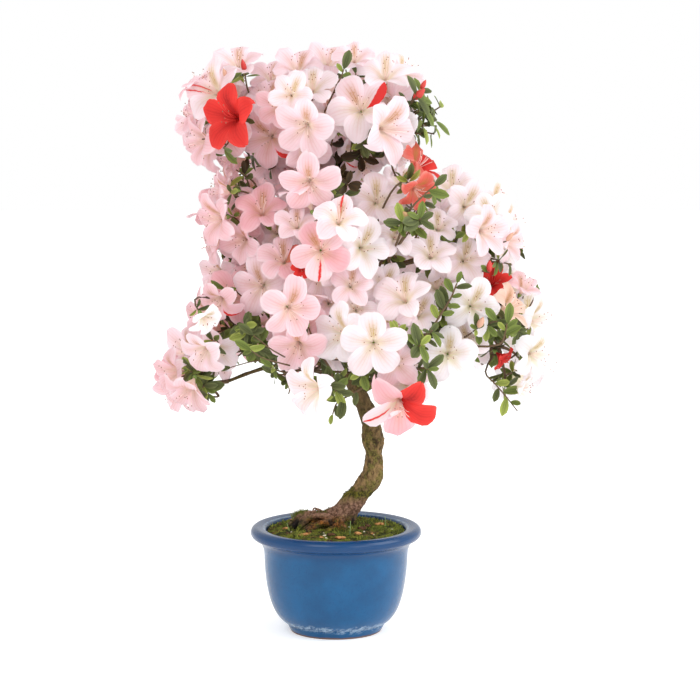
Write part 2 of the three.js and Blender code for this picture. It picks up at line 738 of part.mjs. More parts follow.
// Gives a twig's side faces leaves, beginning with one of them, as far as they fit.
function addLeaves(twig, points, sides, most, placed, draw, make) {
  const start = Math.floor(draw() * sides);
  let count = 0;
  for (let k = 0; k < sides; k += 1) {
    const side = (start + k) % sides;
    const next = (side + 1) % sides;
    const leaf = { middle: twig.end, lean: twig.lean + 0.2 * draw() };
    const fits = leafFits(points, [next, side, side + sides, next + sides], leaf, placed);
    const leafy = { ...twig.leafy, [side]: leaf };
    if (count < most && fits && hasRoom(make({ ...twig, leafy }), twig.owner)) {
      twig.leafy = leafy;
      count += 1;
    }
  }
}

// Leaves just behind the blossoms of a mass.
function growLeaves(mass, placed, draw) {
  for (const bloom of placed.filter((other) => other.owner === mass.name)) {
    bloom.end = neckOf(bloom);
    bloom.lean = 0.1;
    addLeaves(bloom, twigCorners(bloom), 3, BLOOM_LEAVES, placed, draw, bloomSolid);
    note(bloomSolid(bloom), mass.name);
  }
}

// Leafy shoots between the blossoms of a mass.
function growShoots(mass, placed, draw) {
  const shoots = [];
  const phase = draw();
  for (let i = 0; i < SHOOT_TRIES && shoots.length < SHOOTS; i += 1) {
    const out = spread((i * SHOOT_STRIDE) % SHOOT_TRIES, SHOOT_TRIES, phase);
    const end = vec(mass.at).add(out.multiply(vec(mass.half)).multiplyScalar(0.86));
    const shoot = { root: springFrom(mass, end), end, turn: 2 * Math.PI * draw(), lean: 0.35, leafy: {} };
    shoot.owner = mass.name;
    const probes = [...twigProbes([shoot.root, end]), end];
    const outside = MASSES.every((other) => other === mass || reachOf(other, end) > OTHER_REACH);
    const open = placed.every((bloom) => bloom.middle.distanceTo(end) > bloom.radius * 0.9);
    const free = isClear(probes, 2) && !placed.some((bloom) => crosses(probes, bloom));
    if (outside && open && free && hasRoom(shootSolid(shoot), mass.name)) {
      addLeaves(shoot, shootCorners(shoot), 4, 4, placed, draw, shootSolid);
      shoots.push(shoot);
      note(shootSolid(shoot), mass.name);
    }
  }
  return shoots;
}

// The small woody core that the twigs of a mass stand out of.
function coreSolid(mass) {
  const geometry = new THREE.IcosahedronGeometry(1, 0);
  geometry.scale(...mass.half.map((half) => half * CORE_SHARE));
  geometry.translate(...heartOf(mass).toArray());
  return solidFromGeometry(geometry);
}

// All masses: stems and cores first, then show blossoms, further blossoms, and leaves.
function makeMasses(carriers) {
  const frames = MASSES.map((mass, index) => {
    return limb(stemRings(mass, carriers[index]), 5).add(coreSolid(mass));
  });
  const placed = [];
  MASSES.forEach((mass, index) => note(frames[index], mass.name));
  growShow(placed);
  MASSES.forEach((mass, index) => growBlooms(mass, placed, seeded(101 + index * 17)));
  MASSES.forEach((mass, index) => growLeaves(mass, placed, seeded(5001 + index * 31)));
  return MASSES.map((mass, index) => {
    const shoots = growShoots(mass, placed, seeded(9001 + index * 13));
    const parts = [frames[index], ...shoots.map(shootSolid)];
    parts.push(...placed.filter((bloom) => bloom.owner === mass.name).map(bloomSolid));
    return mainBody(wasm.Manifold.union(parts));
  });
}

function makePart() {
  const group = new THREE.Group();
  group.add(pieceFrom("pot", makePot(), GLAZE));
  group.add(pieceFrom("soil", makeSoil(), SOIL));
  const trunk = makeTrunk(0);
  const aroundTrunk = makeTrunk(GAP);
  group.add(pieceFrom("trunk", trunk, BARK));
  note(trunk, "limb");
  noteLimb(trunkRings);
  const carriers = MASSES.map((mass) => (mass.leave > 0 ? boughRings(mass) : trunkRings));
  MASSES.forEach((mass, index) => {
    if (mass.leave > 0) {
      const bough = mainBody(limb(carriers[index], BOUGH_SIDES).subtract(aroundTrunk));
      group.add(pieceFrom(`bough_${mass.name}`, bough, BARK));
      note(bough, "limb");
      noteLimb(carriers[index]);
    }
  });
  makeMasses(carriers).forEach((made, index) => {
    group.add(pieceFrom(MASSES[index].name, made, PETALS));
  });
  return group;
}

export default makePart();
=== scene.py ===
"""Looks of an azalea bonsai in full flower, in a round blue glazed pot of mossy soil."""
import math

import bmesh
import bpy
import numpy as np
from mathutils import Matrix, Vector


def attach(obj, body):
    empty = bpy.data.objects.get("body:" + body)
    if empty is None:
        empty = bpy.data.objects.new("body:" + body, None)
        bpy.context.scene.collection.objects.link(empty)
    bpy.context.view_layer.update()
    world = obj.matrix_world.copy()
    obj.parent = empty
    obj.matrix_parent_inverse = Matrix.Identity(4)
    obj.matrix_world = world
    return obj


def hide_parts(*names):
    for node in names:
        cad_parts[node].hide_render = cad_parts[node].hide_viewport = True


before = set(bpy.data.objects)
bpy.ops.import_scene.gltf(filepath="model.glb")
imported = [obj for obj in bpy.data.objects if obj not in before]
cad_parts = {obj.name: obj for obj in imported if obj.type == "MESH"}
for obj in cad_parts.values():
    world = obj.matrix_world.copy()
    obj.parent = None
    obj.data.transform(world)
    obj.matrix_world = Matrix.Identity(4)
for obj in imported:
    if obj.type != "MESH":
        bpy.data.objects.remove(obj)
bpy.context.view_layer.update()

# Lengths are millimetres until they go into a mesh.
MM = 0.001
WELD = 0.002

# Turn from one leaf or branch to the next that spreads them evenly, in radians.
EVEN_TURN = 2.399963

# Seeds of the random streams.
SEEDS = {"moss_tips": 11, "root_moss": 13, "trunk_moss": 17, "petals": 71, "stamens": 83, "leaves": 97}
BLOOM_SEED, BLOOM_SEED_STEP = 101, 17
SHOOT_SEED, SHOOT_SEED_STEP = 9001, 13
FILL_SEED = 7001

# Camera: where it stands, what it looks at, and its lens on a 36 mm wide sensor.
CAMERA_AT = (14.2, -2400.0, 589.0)
CAMERA_AIM = (14.2, 0.0, 283.3)
CAMERA_LENS = 125.3
SENSOR_WIDTH = 36.0

# Studio, in metres: half the floor's width, and the lights: name, place, aim, size and watts.
FLOOR_HALF = 6.0
LIGHTS = [
    ("key", (-0.9, -2.1, 1.7), (0.0, 0.0, 0.4), 1.4, 20.0),
    ("side", (2.0, -0.5, 1.4), (0.1, 0.0, 0.38), 1.6, 28.0),
    ("fill", (1.4, -2.0, 1.0), (0.12, 0.0, 0.4), 1.2, 10.0),
]

# Flat places of petals and leaves keep this far from the edges.
FLAT_MARGIN = 0.01

# Round pot: foot ring, swelling body, short neck and a rolled lip.
POT_SEGMENTS = 224
POT_HEIGHT = 106.0
FOOT_RADIUS = 45.5
FOOT_TOP_RADIUS = 48.5
FOOT_HEIGHT = 6.5
NECK_RADIUS = 72.0
NECK_HEIGHT = 78.0
LIP_RADIUS = 85.5
LIP_ROLL = 6.0
MOUTH_RADIUS = 69.5
WALL = 7.0
FLOOR_HEIGHT = 12.0

# Moss over the soil, and its tips: name and colour of each green.
MOSS_TOP = 103.4
MOSS_EDGE = 100.5
MOSS_FLOOR = 90.0
MOSS_FLAT_RADIUS = 60.0
MOSS_RINGS = 90
MOSS_SEGMENTS = 260
MOSS_BLADES = 7000
MOSS_GREENS = [("dark", (46, 54, 16)), ("mid", (92, 104, 28)), ("pale", (150, 158, 62))]
TUFT_SIZE = 9.0
TUFT_LEVEL = 0.12

# Trunk, surface roots and boughs: way points, radii and how finely they are divided.
TRUNK_LINE = [
    (3, 6, 92), (8, 5, 116), (23, 4, 137), (36, 3, 156), (38, 3, 178), (37.5, 3, 193),
    (34, 4, 213), (24, 5, 238), (9, 6, 272), (1, 4, 315), (5, 0, 362), (-4, 4, 412),
    (-17, 3, 448), (-23, -1, 468),
]
TRUNK_RADII = [17, 13, 10.5, 11, 8.1, 11, 8.6, 8.3, 8, 7.2, 6.3, 5.2, 4.2, 3.5]
ROOTS = [
    ([(10, 6, 120), (-10, 6, 112.5), (-29, 5, 111.5), (-44, 3, 105)], [11, 8.5, 8.5, 5]),
    ([(8, 5, 120), (6, -8, 108), (3, -21, 101)], [10, 8.5, 5]),
    ([(8, 5, 116), (16, 16, 107), (22, 28, 101)], [9, 7, 4]),
]
TRUNK_RINGS, TRUNK_SIDES = 240, 48
ROOT_RINGS, ROOT_SIDES = 40, 32
TRUNK_VOXEL = 0.75
TRUNK_TIP = 466
BOUGH_RINGS = 28
BOUGH_SIDES = 12
BOUGH_BEND_RADIUS = 2.8
BOUGH_TIP_RADIUS = 2.3
BOUGH_ARCH = 0.1
BOUGH_LUMPS = [(6.0, 0.16), (2.5, 0.1)]

# Masses: middle and half sizes of each one's space, the height at which its bough leaves the
# trunk (0 = it sits on the trunk's tip), the bough's radius there, and its show blossoms: each
# (right, up, diameter, turn to the right, lift, angle of the first lobe, tint), with its place
# and size as they are seen from EYE in the upright plane through the pot's middle. A last
# number brings a blossom that lies over its neighbours forward.
MASSES = [
    ("crown_left", (-112, 0, 520), (52, 62, 62), 448, 3.4,
     [(-111, 514, 71, -38, 5, -5, "red", 8), (-128, 545, 68, -40, 24, -16, "striped"),
      (-97, 574, 52, -10, 50, 0, "blush"), (-71, 539, 56, -25, 45, 20, "blush"),
      (-146, 521, 48, -75, 12, 0, "pink"), (-141, 490, 52, -58, -4, 30, "pink"),
      (-69, 491, 64, -18, -9, -30, "pink_edged", -22), (-110, 464, 48, -70, -20, 0, "pink"),
      (-148, 512, 46, -60, 10, 20, "blush"), (-150, 503, 44, -68, -10, 0, "pink"),
      (-134, 476, 44, -45, -25, 10, "pink"), (-65, 558, 46, -12, 45, 15, "blush")]),
    ("crown_top", (-35, -25, 518), (55, 65, 65), 0, 0,
     [(-33, 501, 64, -16, -14, 12, "blush", 14), (-23, 549, 54, 0, 42, 0, "pale"),
      (-39, 571, 52, -10, 56, 20, "blush"), (-7, 575, 48, 5, 52, 30, "blush"),
      (-3, 519, 59, 5, 25, 60, "one_red"), (-45, 538, 46, -8, 15, 30, "pale"),
      (20, 577, 44, 10, 46, 0, "blush")]),
    ("crown_right", (52, -10, 520), (58, 65, 62), 430, 3.6,
     [(24, 526, 68, -4, 20, 40, "one_red", 26), (59, 502, 70, 42, 0, 26, "blush", 20),
      (50, 563, 56, 5, 48, 0, "pale"), (74, 564, 46, 50, 36, 0, "streaked"),
      (90, 474, 54, 66, 40, 20, "flame", 4), (29, 460, 38, 15, -35, 0, "streaked"),
      (70, 472, 44, 60, -15, 0, "pale")]),
    ("crown_back", (-25, 85, 490), (85, 60, 75), 415, 3.6, []),
    ("mid_left", (-98, -10, 415), (52, 70, 55), 352, 4,
     [(-74, 429, 56, -6, 42, 0, "rose", 22), (-126, 412, 58, -48, -5, -20, "pink", 10),
      (-99, 390, 50, -40, -10, 36, "pink"), (-119, 449, 50, -66, 14, 0, "pink", 4),
      (-58, 402, 40, 0, 20, 0, "pale"), (-121, 441, 42, -80, 0, 20, "pink"),
      (-129, 388, 42, -70, -5, 10, "pink")]),
    ("mid_front", (-15, -85, 408), (55, 52, 70), 372, 4,
     [(-27, 444, 64, -4, -20, -3, "pink", -12), (4, 418, 56, 4, 35, 87, "streaked", 14),
      (-15, 381, 64, 0, 0, -31, "rose_streaked"), (-55, 379, 54, -14, 34, 0, "salmon"),
      (-40, 413, 44, -10, 40, 0, "blush"), (-32, 364, 26, 20, -10, 0, "red"),
      (16, 350, 48, 5, 20, 10, "blush")]),
    ("mid_right", (66, -70, 402), (55, 58, 62), 340, 4.2,
     [(42, 435, 60, 8, 22, 0, "pale", 20), (31, 385, 60, 22, 4, 20, "white", 24),
      (95, 384, 52, 4, 36, 0, "pale"), (84, 437, 46, 34, -30, 10, "coral", -16),
      (62, 398, 44, 20, 20, 0, "pale"), (103, 411, 44, 10, 40, 0, "pale"),
      (48, 349, 52, 0, 15, 30, "pale")]),
    ("right_shoulder", (145, -5, 400), (56, 72, 60), 322, 4.6,
     [(114, 450, 56, -4, 36, 0, "pale"), (134, 426, 56, 24, 5, 20, "pale"),
      (155, 401, 56, 42, 0, 0, "blush"), (180, 410, 54, 60, 10, 0, "pale"),
      (130, 375, 54, 12, 16, 10, "pale"), (181, 388, 46, 60, -10, 0, "blush"),
      (165, 436, 46, 40, 20, 0, "pale")]),
    ("mid_back", (62, 92, 400), (82, 62, 66), 330, 4.4, []),
    ("mid_back_left", (-72, 80, 388), (66, 58, 62), 344, 4, []),
    ("low_left", (-100, -15, 315), (62, 75, 60), 286, 4.8,
     [(-77, 345, 65, -14, -3, -7, "blush", 34), (-124, 360, 48, -45, 5, 0, "blush"),
      (-119, 327, 48, -25, -32, -15, "pink_edged", 8), (-141, 317, 56, -52, 3, 0, "pink"),
      (-126, 309, 40, 38, -34, 10, "white", 14),
      (-113, 263, 32, 20, -30, 0, "streaked")]),
    ("far_left", (-148, -30, 262), (42, 48, 50), 262, 2.7,
     [(-158, 288, 52, -46, 24, 10, "blush"), (-137, 275, 56, -34, -30, 0, "blush", 12),
      (-170, 258, 54, -52, -8, 0, "pink", 4), (-150, 233, 58, -30, -50, 20, "pink", 10)]),
    ("low_front", (-28, -95, 290), (52, 52, 72), 275, 4.4,
     [(-42, 321, 64, 18, -10, 7, "pink"), (-39, 280, 58, -8, -28, 0, "pink", -10),
      (-33, 240, 70, -48, -8, 0, "pale", 24), (-5, 334, 42, 10, 25, 0, "blush")]),
    ("low_centre", (58, -95, 288), (52, 50, 74), 262, 4.6,
     [(-2, 300, 66, -38, 4, 0, "white", 14), (37, 287, 69, -2, -4, 0, "pale", 4),
      (64, 218, 75, 0, -34, 36, "half_red", 24), (64, 342, 62, -20, 36, 0, "pale"),
      (20, 326, 44, 0, 20, 20, "pale")]),
    ("low_right", (126, -45, 305), (50, 66, 62), 252, 5,
     [(114, 277, 62, 6, 0, 0, "white"), (138, 327, 60, 12, 6, 20, "white"),
      (100, 353, 50, 0, 40, 0, "pale")]),
    ("far_right", (186, 5, 298), (50, 64, 78), 241, 5.6,
     [(155, 352, 44, 0, 24, 10, "red", 22), (181, 330, 52, 62, 24, 20, "peach", 14),
      (190, 351, 36, 40, 50, 0, "pink"),
      (207, 312, 56, 56, 2, 0, "white"), (204, 276, 56, 40, -8, 20, "white"),
      (194, 243, 42, 70, -6, 0, "white"), (170, 271, 30, 62, -38, 10, "red", -6)]),
    ("back_left", (-70, 92, 300), (85, 65, 68), 268, 4.8, []),
    ("back_right", (96, 95, 292), (85, 65, 68), 247, 4.8, []),
]

# Show blossoms: the spot they are seen from, how far out in their masses they stand, and the
# steps by which they move along their lines of sight until none cuts another.
EYE = np.array(CAMERA_AT)
SHOW_REACH = 0.8
SHOW_ROUNDS = 120
STEP_BACK = 2.5
STEP_FORWARD = 1.2
MOST_BACK = 45
MOST_FORWARD = 22

# Blossoms: depths and radii are shares of the bloom's radius.
BLOOM_DIAMETER = 57
BLOOM_TRIES = 420
BLOOM_STRIDE = 163
BLOOM_SPACING = 0.56
OTHER_REACH = 0.8
HIDE_SHARE = 0.8
NOTCH_SHARE = 0.6
NOTCH_DEPTH = 0.14
THROAT_DEPTH = 0.6
NECK_DEPTH = 0.64
SIDE_FUNNEL = 0.6
LOBE_ANGLE = 72.0
LOBE_HALF_ANGLE = 20
BEND_LENGTH = 3.5
STEM_LENGTH = 22
CORE_SHARE = 0.15
HEART_SHARE = 0.5
HEART_DROP = 60
CROWN_DEPTH = 10

# Tints of a blossom's five lobes, clockwise from the first one.
PLAIN_TINTS = ("red", "coral", "rose", "pink", "blush", "pale", "peach", "white")
TINTS = {
    **{tint: [tint] * 5 for tint in PLAIN_TINTS},
    "salmon": ["pink", "coral", "rose", "pink", "pink"],
    "streaked": ["pale", "pale", "blush", "pale", "streaked"],
    "striped": ["pale", "blush", "blush", "pale", "striped"],
    "flame": ["coral", "red", "red", "coral", "coral"],
    "rose_streaked": ["rose", "pink", "rose", "streaked", "pink"],
    "pink_edged": ["pink", "pink", "edged", "pink", "pink"],
    "one_red": ["half", "pale", "pale", "pale", "blush"],
    "half_red": ["red", "red", "rose", "streaked", "rose"],
}


def unit(vectors):
    """Vectors brought to length one."""
    return vectors / np.maximum(np.linalg.norm(vectors, axis=-1, keepdims=True), 1e-12)


def seeded(seed):
    """A repeatable stream of numbers from 0 to 1: each is the last times a factor plus a step."""
    state = seed

    def draw():
        """The next number of the stream."""
        nonlocal state
        state = (state * 1664525 + 1013904223) % 4294967296
        return state / 4294967296

    return draw


def lattice(cells, seed):
    """A number from 0 to 1 for each lattice corner, its whole numbers mixed by large odd factors."""
    mixed = cells[..., 0] * 374761393 + cells[..., 1] * 668265263 + cells[..., 2] * 1440662683
    mixed = (mixed + seed * 1274126177) & 0xFFFFFFFF
    mixed = ((mixed ^ (mixed >> 13)) * 1274126177) & 0xFFFFFFFF
    return (mixed ^ (mixed >> 16)) / 4294967295.0


def noise(points, seed=0):
    """Smooth noise from -1 to 1: the eight corners of a point's cell blended by eased shares."""
    cells = np.floor(points).astype(np.int64)
    share = points - cells
    share = share * share * (3 - 2 * share)
    total = np.zeros(points.shape[:-1])
    for corner in np.ndindex(2, 2, 2):
        weight = np.prod(np.where(np.array(corner) == 1, share, 1 - share), axis=-1)
        total += weight * lattice(cells + np.array(corner), seed)
    return 2 * total - 1


def curve_through(points, shares):
    """A centripetal Catmull-Rom curve: a cubic between each two way points whose end slopes
    come from the neighbours, weighted by the square roots of the distances."""
    points = np.asarray(points, float)
    rows = np.vstack([2 * points[0] - points[1], points, 2 * points[-1] - points[-2]])
    place = np.clip(shares, 0, 1) * (len(points) - 1)
    index = np.minimum(place.astype(int), len(points) - 2)
    t = (place - index)[:, None]
    p0, p1, p2, p3 = (rows[index + k] for k in range(4))
    pairs = ((p0, p1), (p1, p2), (p2, p3))
    d0, d1, d2 = (np.sqrt(np.linalg.norm(b - a, axis=1))[:, None] for a, b in pairs)
    out = ((p1 - p0) / d0 - (p2 - p0) / (d0 + d1) + (p2 - p1) / d1) * d1
    into = ((p2 - p1) / d1 - (p3 - p1) / (d1 + d2) + (p3 - p2) / d2) * d1
    square = 3 * (p2 - p1) - 2 * out - into
    cube = 2 * (p1 - p2) + out + into
    return p1 + out * t + square * t ** 2 + cube * t ** 3


def run_through(values, shares):
    """A value that runs through a row of values, easing in and out at each of them."""
    values = np.asarray(values, float)
    place = np.minimum(shares, 0.999999) * (len(values) - 1)
    index = place.astype(int)
    t = place - index
    return values[index] + (values[index + 1] - values[index]) * t * t * (3 - 2 * t)


def bent_path(start, bend, end, share):
    """A curve that leaves its start towards a bend and comes to its end from it: the three points
    weighted by the squares and the product of the shares of the way gone and left."""
    return start * (1 - share) ** 2 + 2 * bend * share * (1 - share) + end * share ** 2


def grid_faces(count, rows, columns, wrap):
    """Four-cornered faces of a number of grids stored one after another; wrap joins the last
    column of each row to its first."""
    across = columns if wrap else columns - 1
    row, column = np.meshgrid(np.arange(rows - 1), np.arange(across), indexing="ij")
    after = (column + 1) % columns
    corners = np.stack([row * columns + column, row * columns + after,
                        (row + 1) * columns + after, (row + 1) * columns + column], axis=-1)
    starts = np.arange(count) * rows * columns
    return (starts[:, None, None] + corners.reshape(1, -1, 4)).reshape(-1, 4)


def weld(mesh):
    """Joins points that lie on one spot, which closes seams and poles."""
    work = bmesh.new()
    work.from_mesh(mesh)
    bmesh.ops.remove_doubles(work, verts=work.verts, dist=WELD * MM)
    work.to_mesh(mesh)
    work.free()


def make_piece(name, points, faces, material, nodes, spread=None):
    """A mesh piece from points in millimetres and faces; spread is a flat place for every point,
    from 0 to 1, by which the finish follows the surface."""
    points = np.asarray(points, float).reshape(-1, 3)
    mesh = bpy.data.meshes.new(name)
    mesh.vertices.add(len(points))
    mesh.vertices.foreach_set("co", (points * MM).astype(np.float32).ravel())
    mesh.loops.add(faces.size)
    mesh.loops.foreach_set("vertex_index", faces.astype(np.int32).ravel())
    mesh.polygons.add(len(faces))
    mesh.polygons.foreach_set("loop_start", np.arange(0, faces.size, faces.shape[1], dtype=np.int32))
    mesh.polygons.foreach_set("use_smooth", np.ones(len(faces), bool))
    if spread is not None:
        layer = mesh.uv_layers.new(name="OFBake")
        layer.data.foreach_set("uv", np.asarray(spread, np.float32).reshape(-1, 2)[faces.ravel()].ravel())
    mesh.update(calc_edges=True)
    weld(mesh)
    mesh.materials.append(material)
    made = bpy.data.objects.new(name, mesh)
    bpy.context.scene.collection.objects.link(made)
    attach(made, "root")
    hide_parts(*nodes)
    return made


def square_to(paths):
    """Two directions square to each step of a batch of paths: the first leans as far to the back
    as it can, the second completes the corner."""
    ahead = unit(np.gradient(paths, axis=-2))
    back = np.broadcast_to(np.array((0.0, 1.0, 0.0)), ahead.shape)
    steep = np.abs(ahead[..., 1:2]) > 0.9
    back = np.where(steep, np.array((1.0, 0.0, 0.0)), back)
    side = unit(back - ahead * np.sum(back * ahead, axis=-1, keepdims=True))
    return side, np.cross(ahead, side)


def tubes(paths, radii, sides):
    """Circles carried along a batch of paths: each point is the path's point plus the radius
    times the cosine and sine of an even turn along the two square directions. A ring of no
    size closes each end."""
    side, across = square_to(paths)
    ends = [0, *range(paths.shape[-2]), -1]
    paths, side, across = paths[:, ends], side[:, ends], across[:, ends]
    radii = np.array(radii[:, ends])
    radii[:, (0, -1)] = 0
    turn = np.arange(sides) * 2 * math.pi / sides
    ring = np.cos(turn)[:, None] * side[..., None, :] + np.sin(turn)[:, None] * across[..., None, :]
    return paths[..., None, :] + radii[..., None, None] * ring


def make_tubes(name, paths, radii, sides, material, nodes):
    """A mesh piece of closed tubes along a batch of paths."""
    points = tubes(np.asarray(paths), np.asarray(radii), sides)
    faces = grid_faces(len(points), points.shape[1], sides, True)
    make_piece(name, points, faces, material, nodes)


def limb_path(line, radii, rings):
    """Middle line and radii of a limb at even steps along its way points."""
    shares = np.linspace(0, 1, rings + 1)
    return curve_through(line, shares), run_through(radii, shares)


def closed_tube(path, radii, sides):
    """One tube whose ends are drawn in to points."""
    return tubes(path[None], radii[None], sides)[0]


def lumpy_tube(path, radii, sides, lumps, seed):
    """A closed tube whose skin is moved off its middle line by noise of several sizes: each is
    (size, share)."""
    tube = closed_tube(path, radii, sides)
    middle = np.vstack([path[:1], path, path[-1:]])[:, None]
    swell = 1.0
    for step, (size, share) in enumerate(lumps):
        swell = swell + share * noise(tube / size, seed + step)
    return middle + (tube - middle) * swell[..., None]


def joined(skins):
    """Points and faces of tubes of different sizes as one mesh."""
    starts = np.cumsum([0] + [skin[..., 0].size for skin in skins])
    faces = [grid_faces(1, *skin.shape[:2], True) + start for skin, start in zip(skins, starts)]
    return np.vstack([skin.reshape(-1, 3) for skin in skins]), np.vstack(faces)


def blades(foot, tip, side, narrow):
    """Points and faces of flat blades: each is a side step wide to both sides of its foot and a
    share of that at its tip."""
    points = np.stack([foot - side, foot + side, tip + narrow * side, tip - narrow * side], axis=1)
    return points, np.arange(4 * len(foot)).reshape(-1, 4)


def flat_grid(rows, columns, right):
    """Flat places of a blade's points: across it up to a right edge, and from its foot to its tip."""
    along = np.linspace(FLAT_MARGIN, 1 - FLAT_MARGIN, rows)
    across = np.linspace(FLAT_MARGIN, right - FLAT_MARGIN, columns)
    return np.stack(np.meshgrid(along, across, indexing="ij")[::-1], axis=-1)


def srgb(red, green, blue):
    """A colour given as 0 to 255 in screen values, as linear light."""
    share = np.array((red, green, blue)) / 255
    linear = np.where(share <= 0.04045, share / 12.92, ((share + 0.055) / 1.055) ** 2.4)
    return (*(float(part) for part in linear), 1.0)


class Wire:
    """An output of a material's node, for sums written as plain expressions."""

    def __init__(self, paint, socket):
        self.paint = paint
        self.socket = socket

    def sum(self, operation, *values):
        """A Math node on the given values."""
        return self.paint.node("Math", {"operation": operation}, dict(enumerate(values)))

    def __add__(self, other):
        return self.sum("ADD", self, other)

    __radd__ = __add__

    def __sub__(self, other):
        return self.sum("SUBTRACT", self, other)

    def __rsub__(self, other):
        return self.sum("SUBTRACT", other, self)

    def __mul__(self, other):
        return self.sum("MULTIPLY", self, other)

    __rmul__ = __mul__

    def __truediv__(self, other):
        return self.sum("DIVIDE", self, other)

    def __pow__(self, other):
        return self.sum("POWER", self, other)

    def __abs__(self):
        return self.sum("ABSOLUTE", self)

    def sine(self):
        """The sine of the value."""
        return self.sum("SINE", self)

    def ease(self, low, high):
        """0 below low, 1 above high, and an eased run between them."""
        settings = {"interpolation_type": "SMOOTHSTEP"}
        return self.paint.node("MapRange", settings, {"Value": self, "From Min": low, "From Max": high})


class Paint:
    """A material in the making: node() adds any node, surface() closes it."""

    def __init__(self, name):
        self.material = bpy.data.materials.new(name)
        self.material.use_nodes = True
        self.tree = self.material.node_tree
        self.tree.nodes.clear()

    def node(self, kind, settings=None, inputs=None, output=0):
        """A node of any kind: its settings first, then the values or links of its sockets."""
        made = self.tree.nodes.new("ShaderNode" + kind)
        for key, value in (settings or {}).items():
            setattr(made, key, value)
        for key, value in (inputs or {}).items():
            if isinstance(value, Wire):
                self.tree.links.new(value.socket, made.inputs[key])
            else:
                made.inputs[key].default_value = value
        return Wire(self, made.outputs[output]) if made.outputs else None

    def place(self):
        """The place on the object, in metres."""
        return self.node("TexCoord", output=3)

    def spread(self):
        """The flat place across and along a petal or leaf."""
        flat = self.node("UVMap", {"uv_map": "OFBake"})
        return self.split(flat)[:2]

    def split(self, vector):
        """The three numbers of a vector."""
        parts = self.node("SeparateXYZ", inputs={0: vector})
        return [Wire(self, parts.socket.node.outputs[k]) for k in range(3)]

    def noise(self, vector, scale, detail=3.0, roughness=0.55):
        """Cloudy noise from 0 to 1."""
        inputs = {"Vector": vector, "Scale": scale, "Detail": detail, "Roughness": roughness}
        return self.node("TexNoise", inputs=inputs)

    def mix(self, factor, low, high):
        """Two colours mixed by a factor."""
        return self.node("Mix", {"data_type": "RGBA"}, {0: factor, 6: low, 7: high}, output=2)

    def bump(self, height, strength, distance):
        """A normal that follows a height."""
        return self.node("Bump", inputs={"Strength": strength, "Distance": distance, "Height": height})

    def surface(self, inputs, glow=0.0):
        """Closes the material with one Principled surface, a share of it letting light through."""
        shader = self.node("BsdfPrincipled", inputs=inputs)
        if glow:
            through = self.node("BsdfTranslucent", inputs={"Color": inputs["Base Color"]})
            shader = self.node("MixShader", inputs={0: glow, 1: shader, 2: through})
        self.node("OutputMaterial", inputs={"Surface": shader})
        return self.material


def glaze_paint():
    """Blue glaze: mid blue with faint clouds and specks, darker from the neck up over the lip as painted
    shade under the lip's roll; a pale line round the lip's inner edge, where the glaze thins, made
    stronger as a painted highlight; a whitish crawl line over the foot and bare brown clay under it."""
    paint = Paint("blue_glaze")
    place = paint.place()
    right, back, height = paint.split(place)
    out = (right * right + back * back) ** 0.5
    cloud = paint.noise(place, 30.0, 4.0)
    speck = paint.noise(place, 520.0, 2.0)
    fine = paint.noise(place, 160.0, 3.0)
    drift = paint.noise(place, 60.0, 4.0)
    body = paint.mix(cloud.ease(0.25, 0.75), srgb(2, 66, 108), srgb(4, 79, 125))
    body = paint.mix(speck.ease(0.54, 0.7) * 0.3, body, srgb(2, 54, 98))
    # Painted shade: the glaze darkens from the neck up, under the lip's roll and over the lip.
    body = paint.mix(height.ease(0.08, 0.094) * 0.75, body, srgb(6, 48, 92))
    # Pale line round the lip's inner edge: the glaze thinning there, made stronger as a painted highlight.
    edge = (1 - abs(out - 0.0722) / 0.0022).ease(0.1, 0.9) * height.ease(0.1005, 0.1025)
    body = paint.mix(edge * (0.35 + fine.ease(0.4, 0.6) * 0.4), body, srgb(132, 154, 172))
    line = 1 - abs(height + (drift - 0.5) * 0.009 - 0.0105) / 0.0052
    crawl = line.ease(0.0, 0.9) * (fine * 0.45 + speck * 0.55).ease(0.45, 0.6)
    body = paint.mix(crawl * 0.7, body, srgb(170, 192, 208))
    clay = 1 - (height + (fine - 0.5) * 0.002).ease(0.0012, 0.0026)
    body = paint.mix(clay, body, srgb(104, 76, 66))
    rough = 0.24 + clay * 0.5 + crawl * 0.25
    bump = paint.bump(cloud * 0.7 + speck * 0.06, 0.1, 0.002)
    return paint.surface({"Base Color": body, "Roughness": rough, "Normal": bump,
                          "Specular IOR Level": 0.34})


# A hollow in the front of the trunk, one under the left root, and the root's knuckle, in metres; the two
# hollows are dented and darkened by painted shade.
HOLLOW = (0.039, -0.0075, 0.193)
CAVE = (-0.040, -0.006, 0.107)
KNUCKLE = (-0.036, 0.004, 0.114)

# Heights of the bark's colours: the belt of moss in millimetres, the rest in metres, each from
# where it starts to change to where it is full.
BELT_HEIGHT = 139.0
# From this height up the bark is darkened by painted shade of the crown.
PAINTED_CROWN_SHADE = (0.18, 0.22)
RED_FOOT = (0.126, 0.136)
ROOT_TOP = (0.112, 0.12)
MOSS_SKIRT = (0.104, 0.112)
MOSS_CREST = (0.11, 0.118)


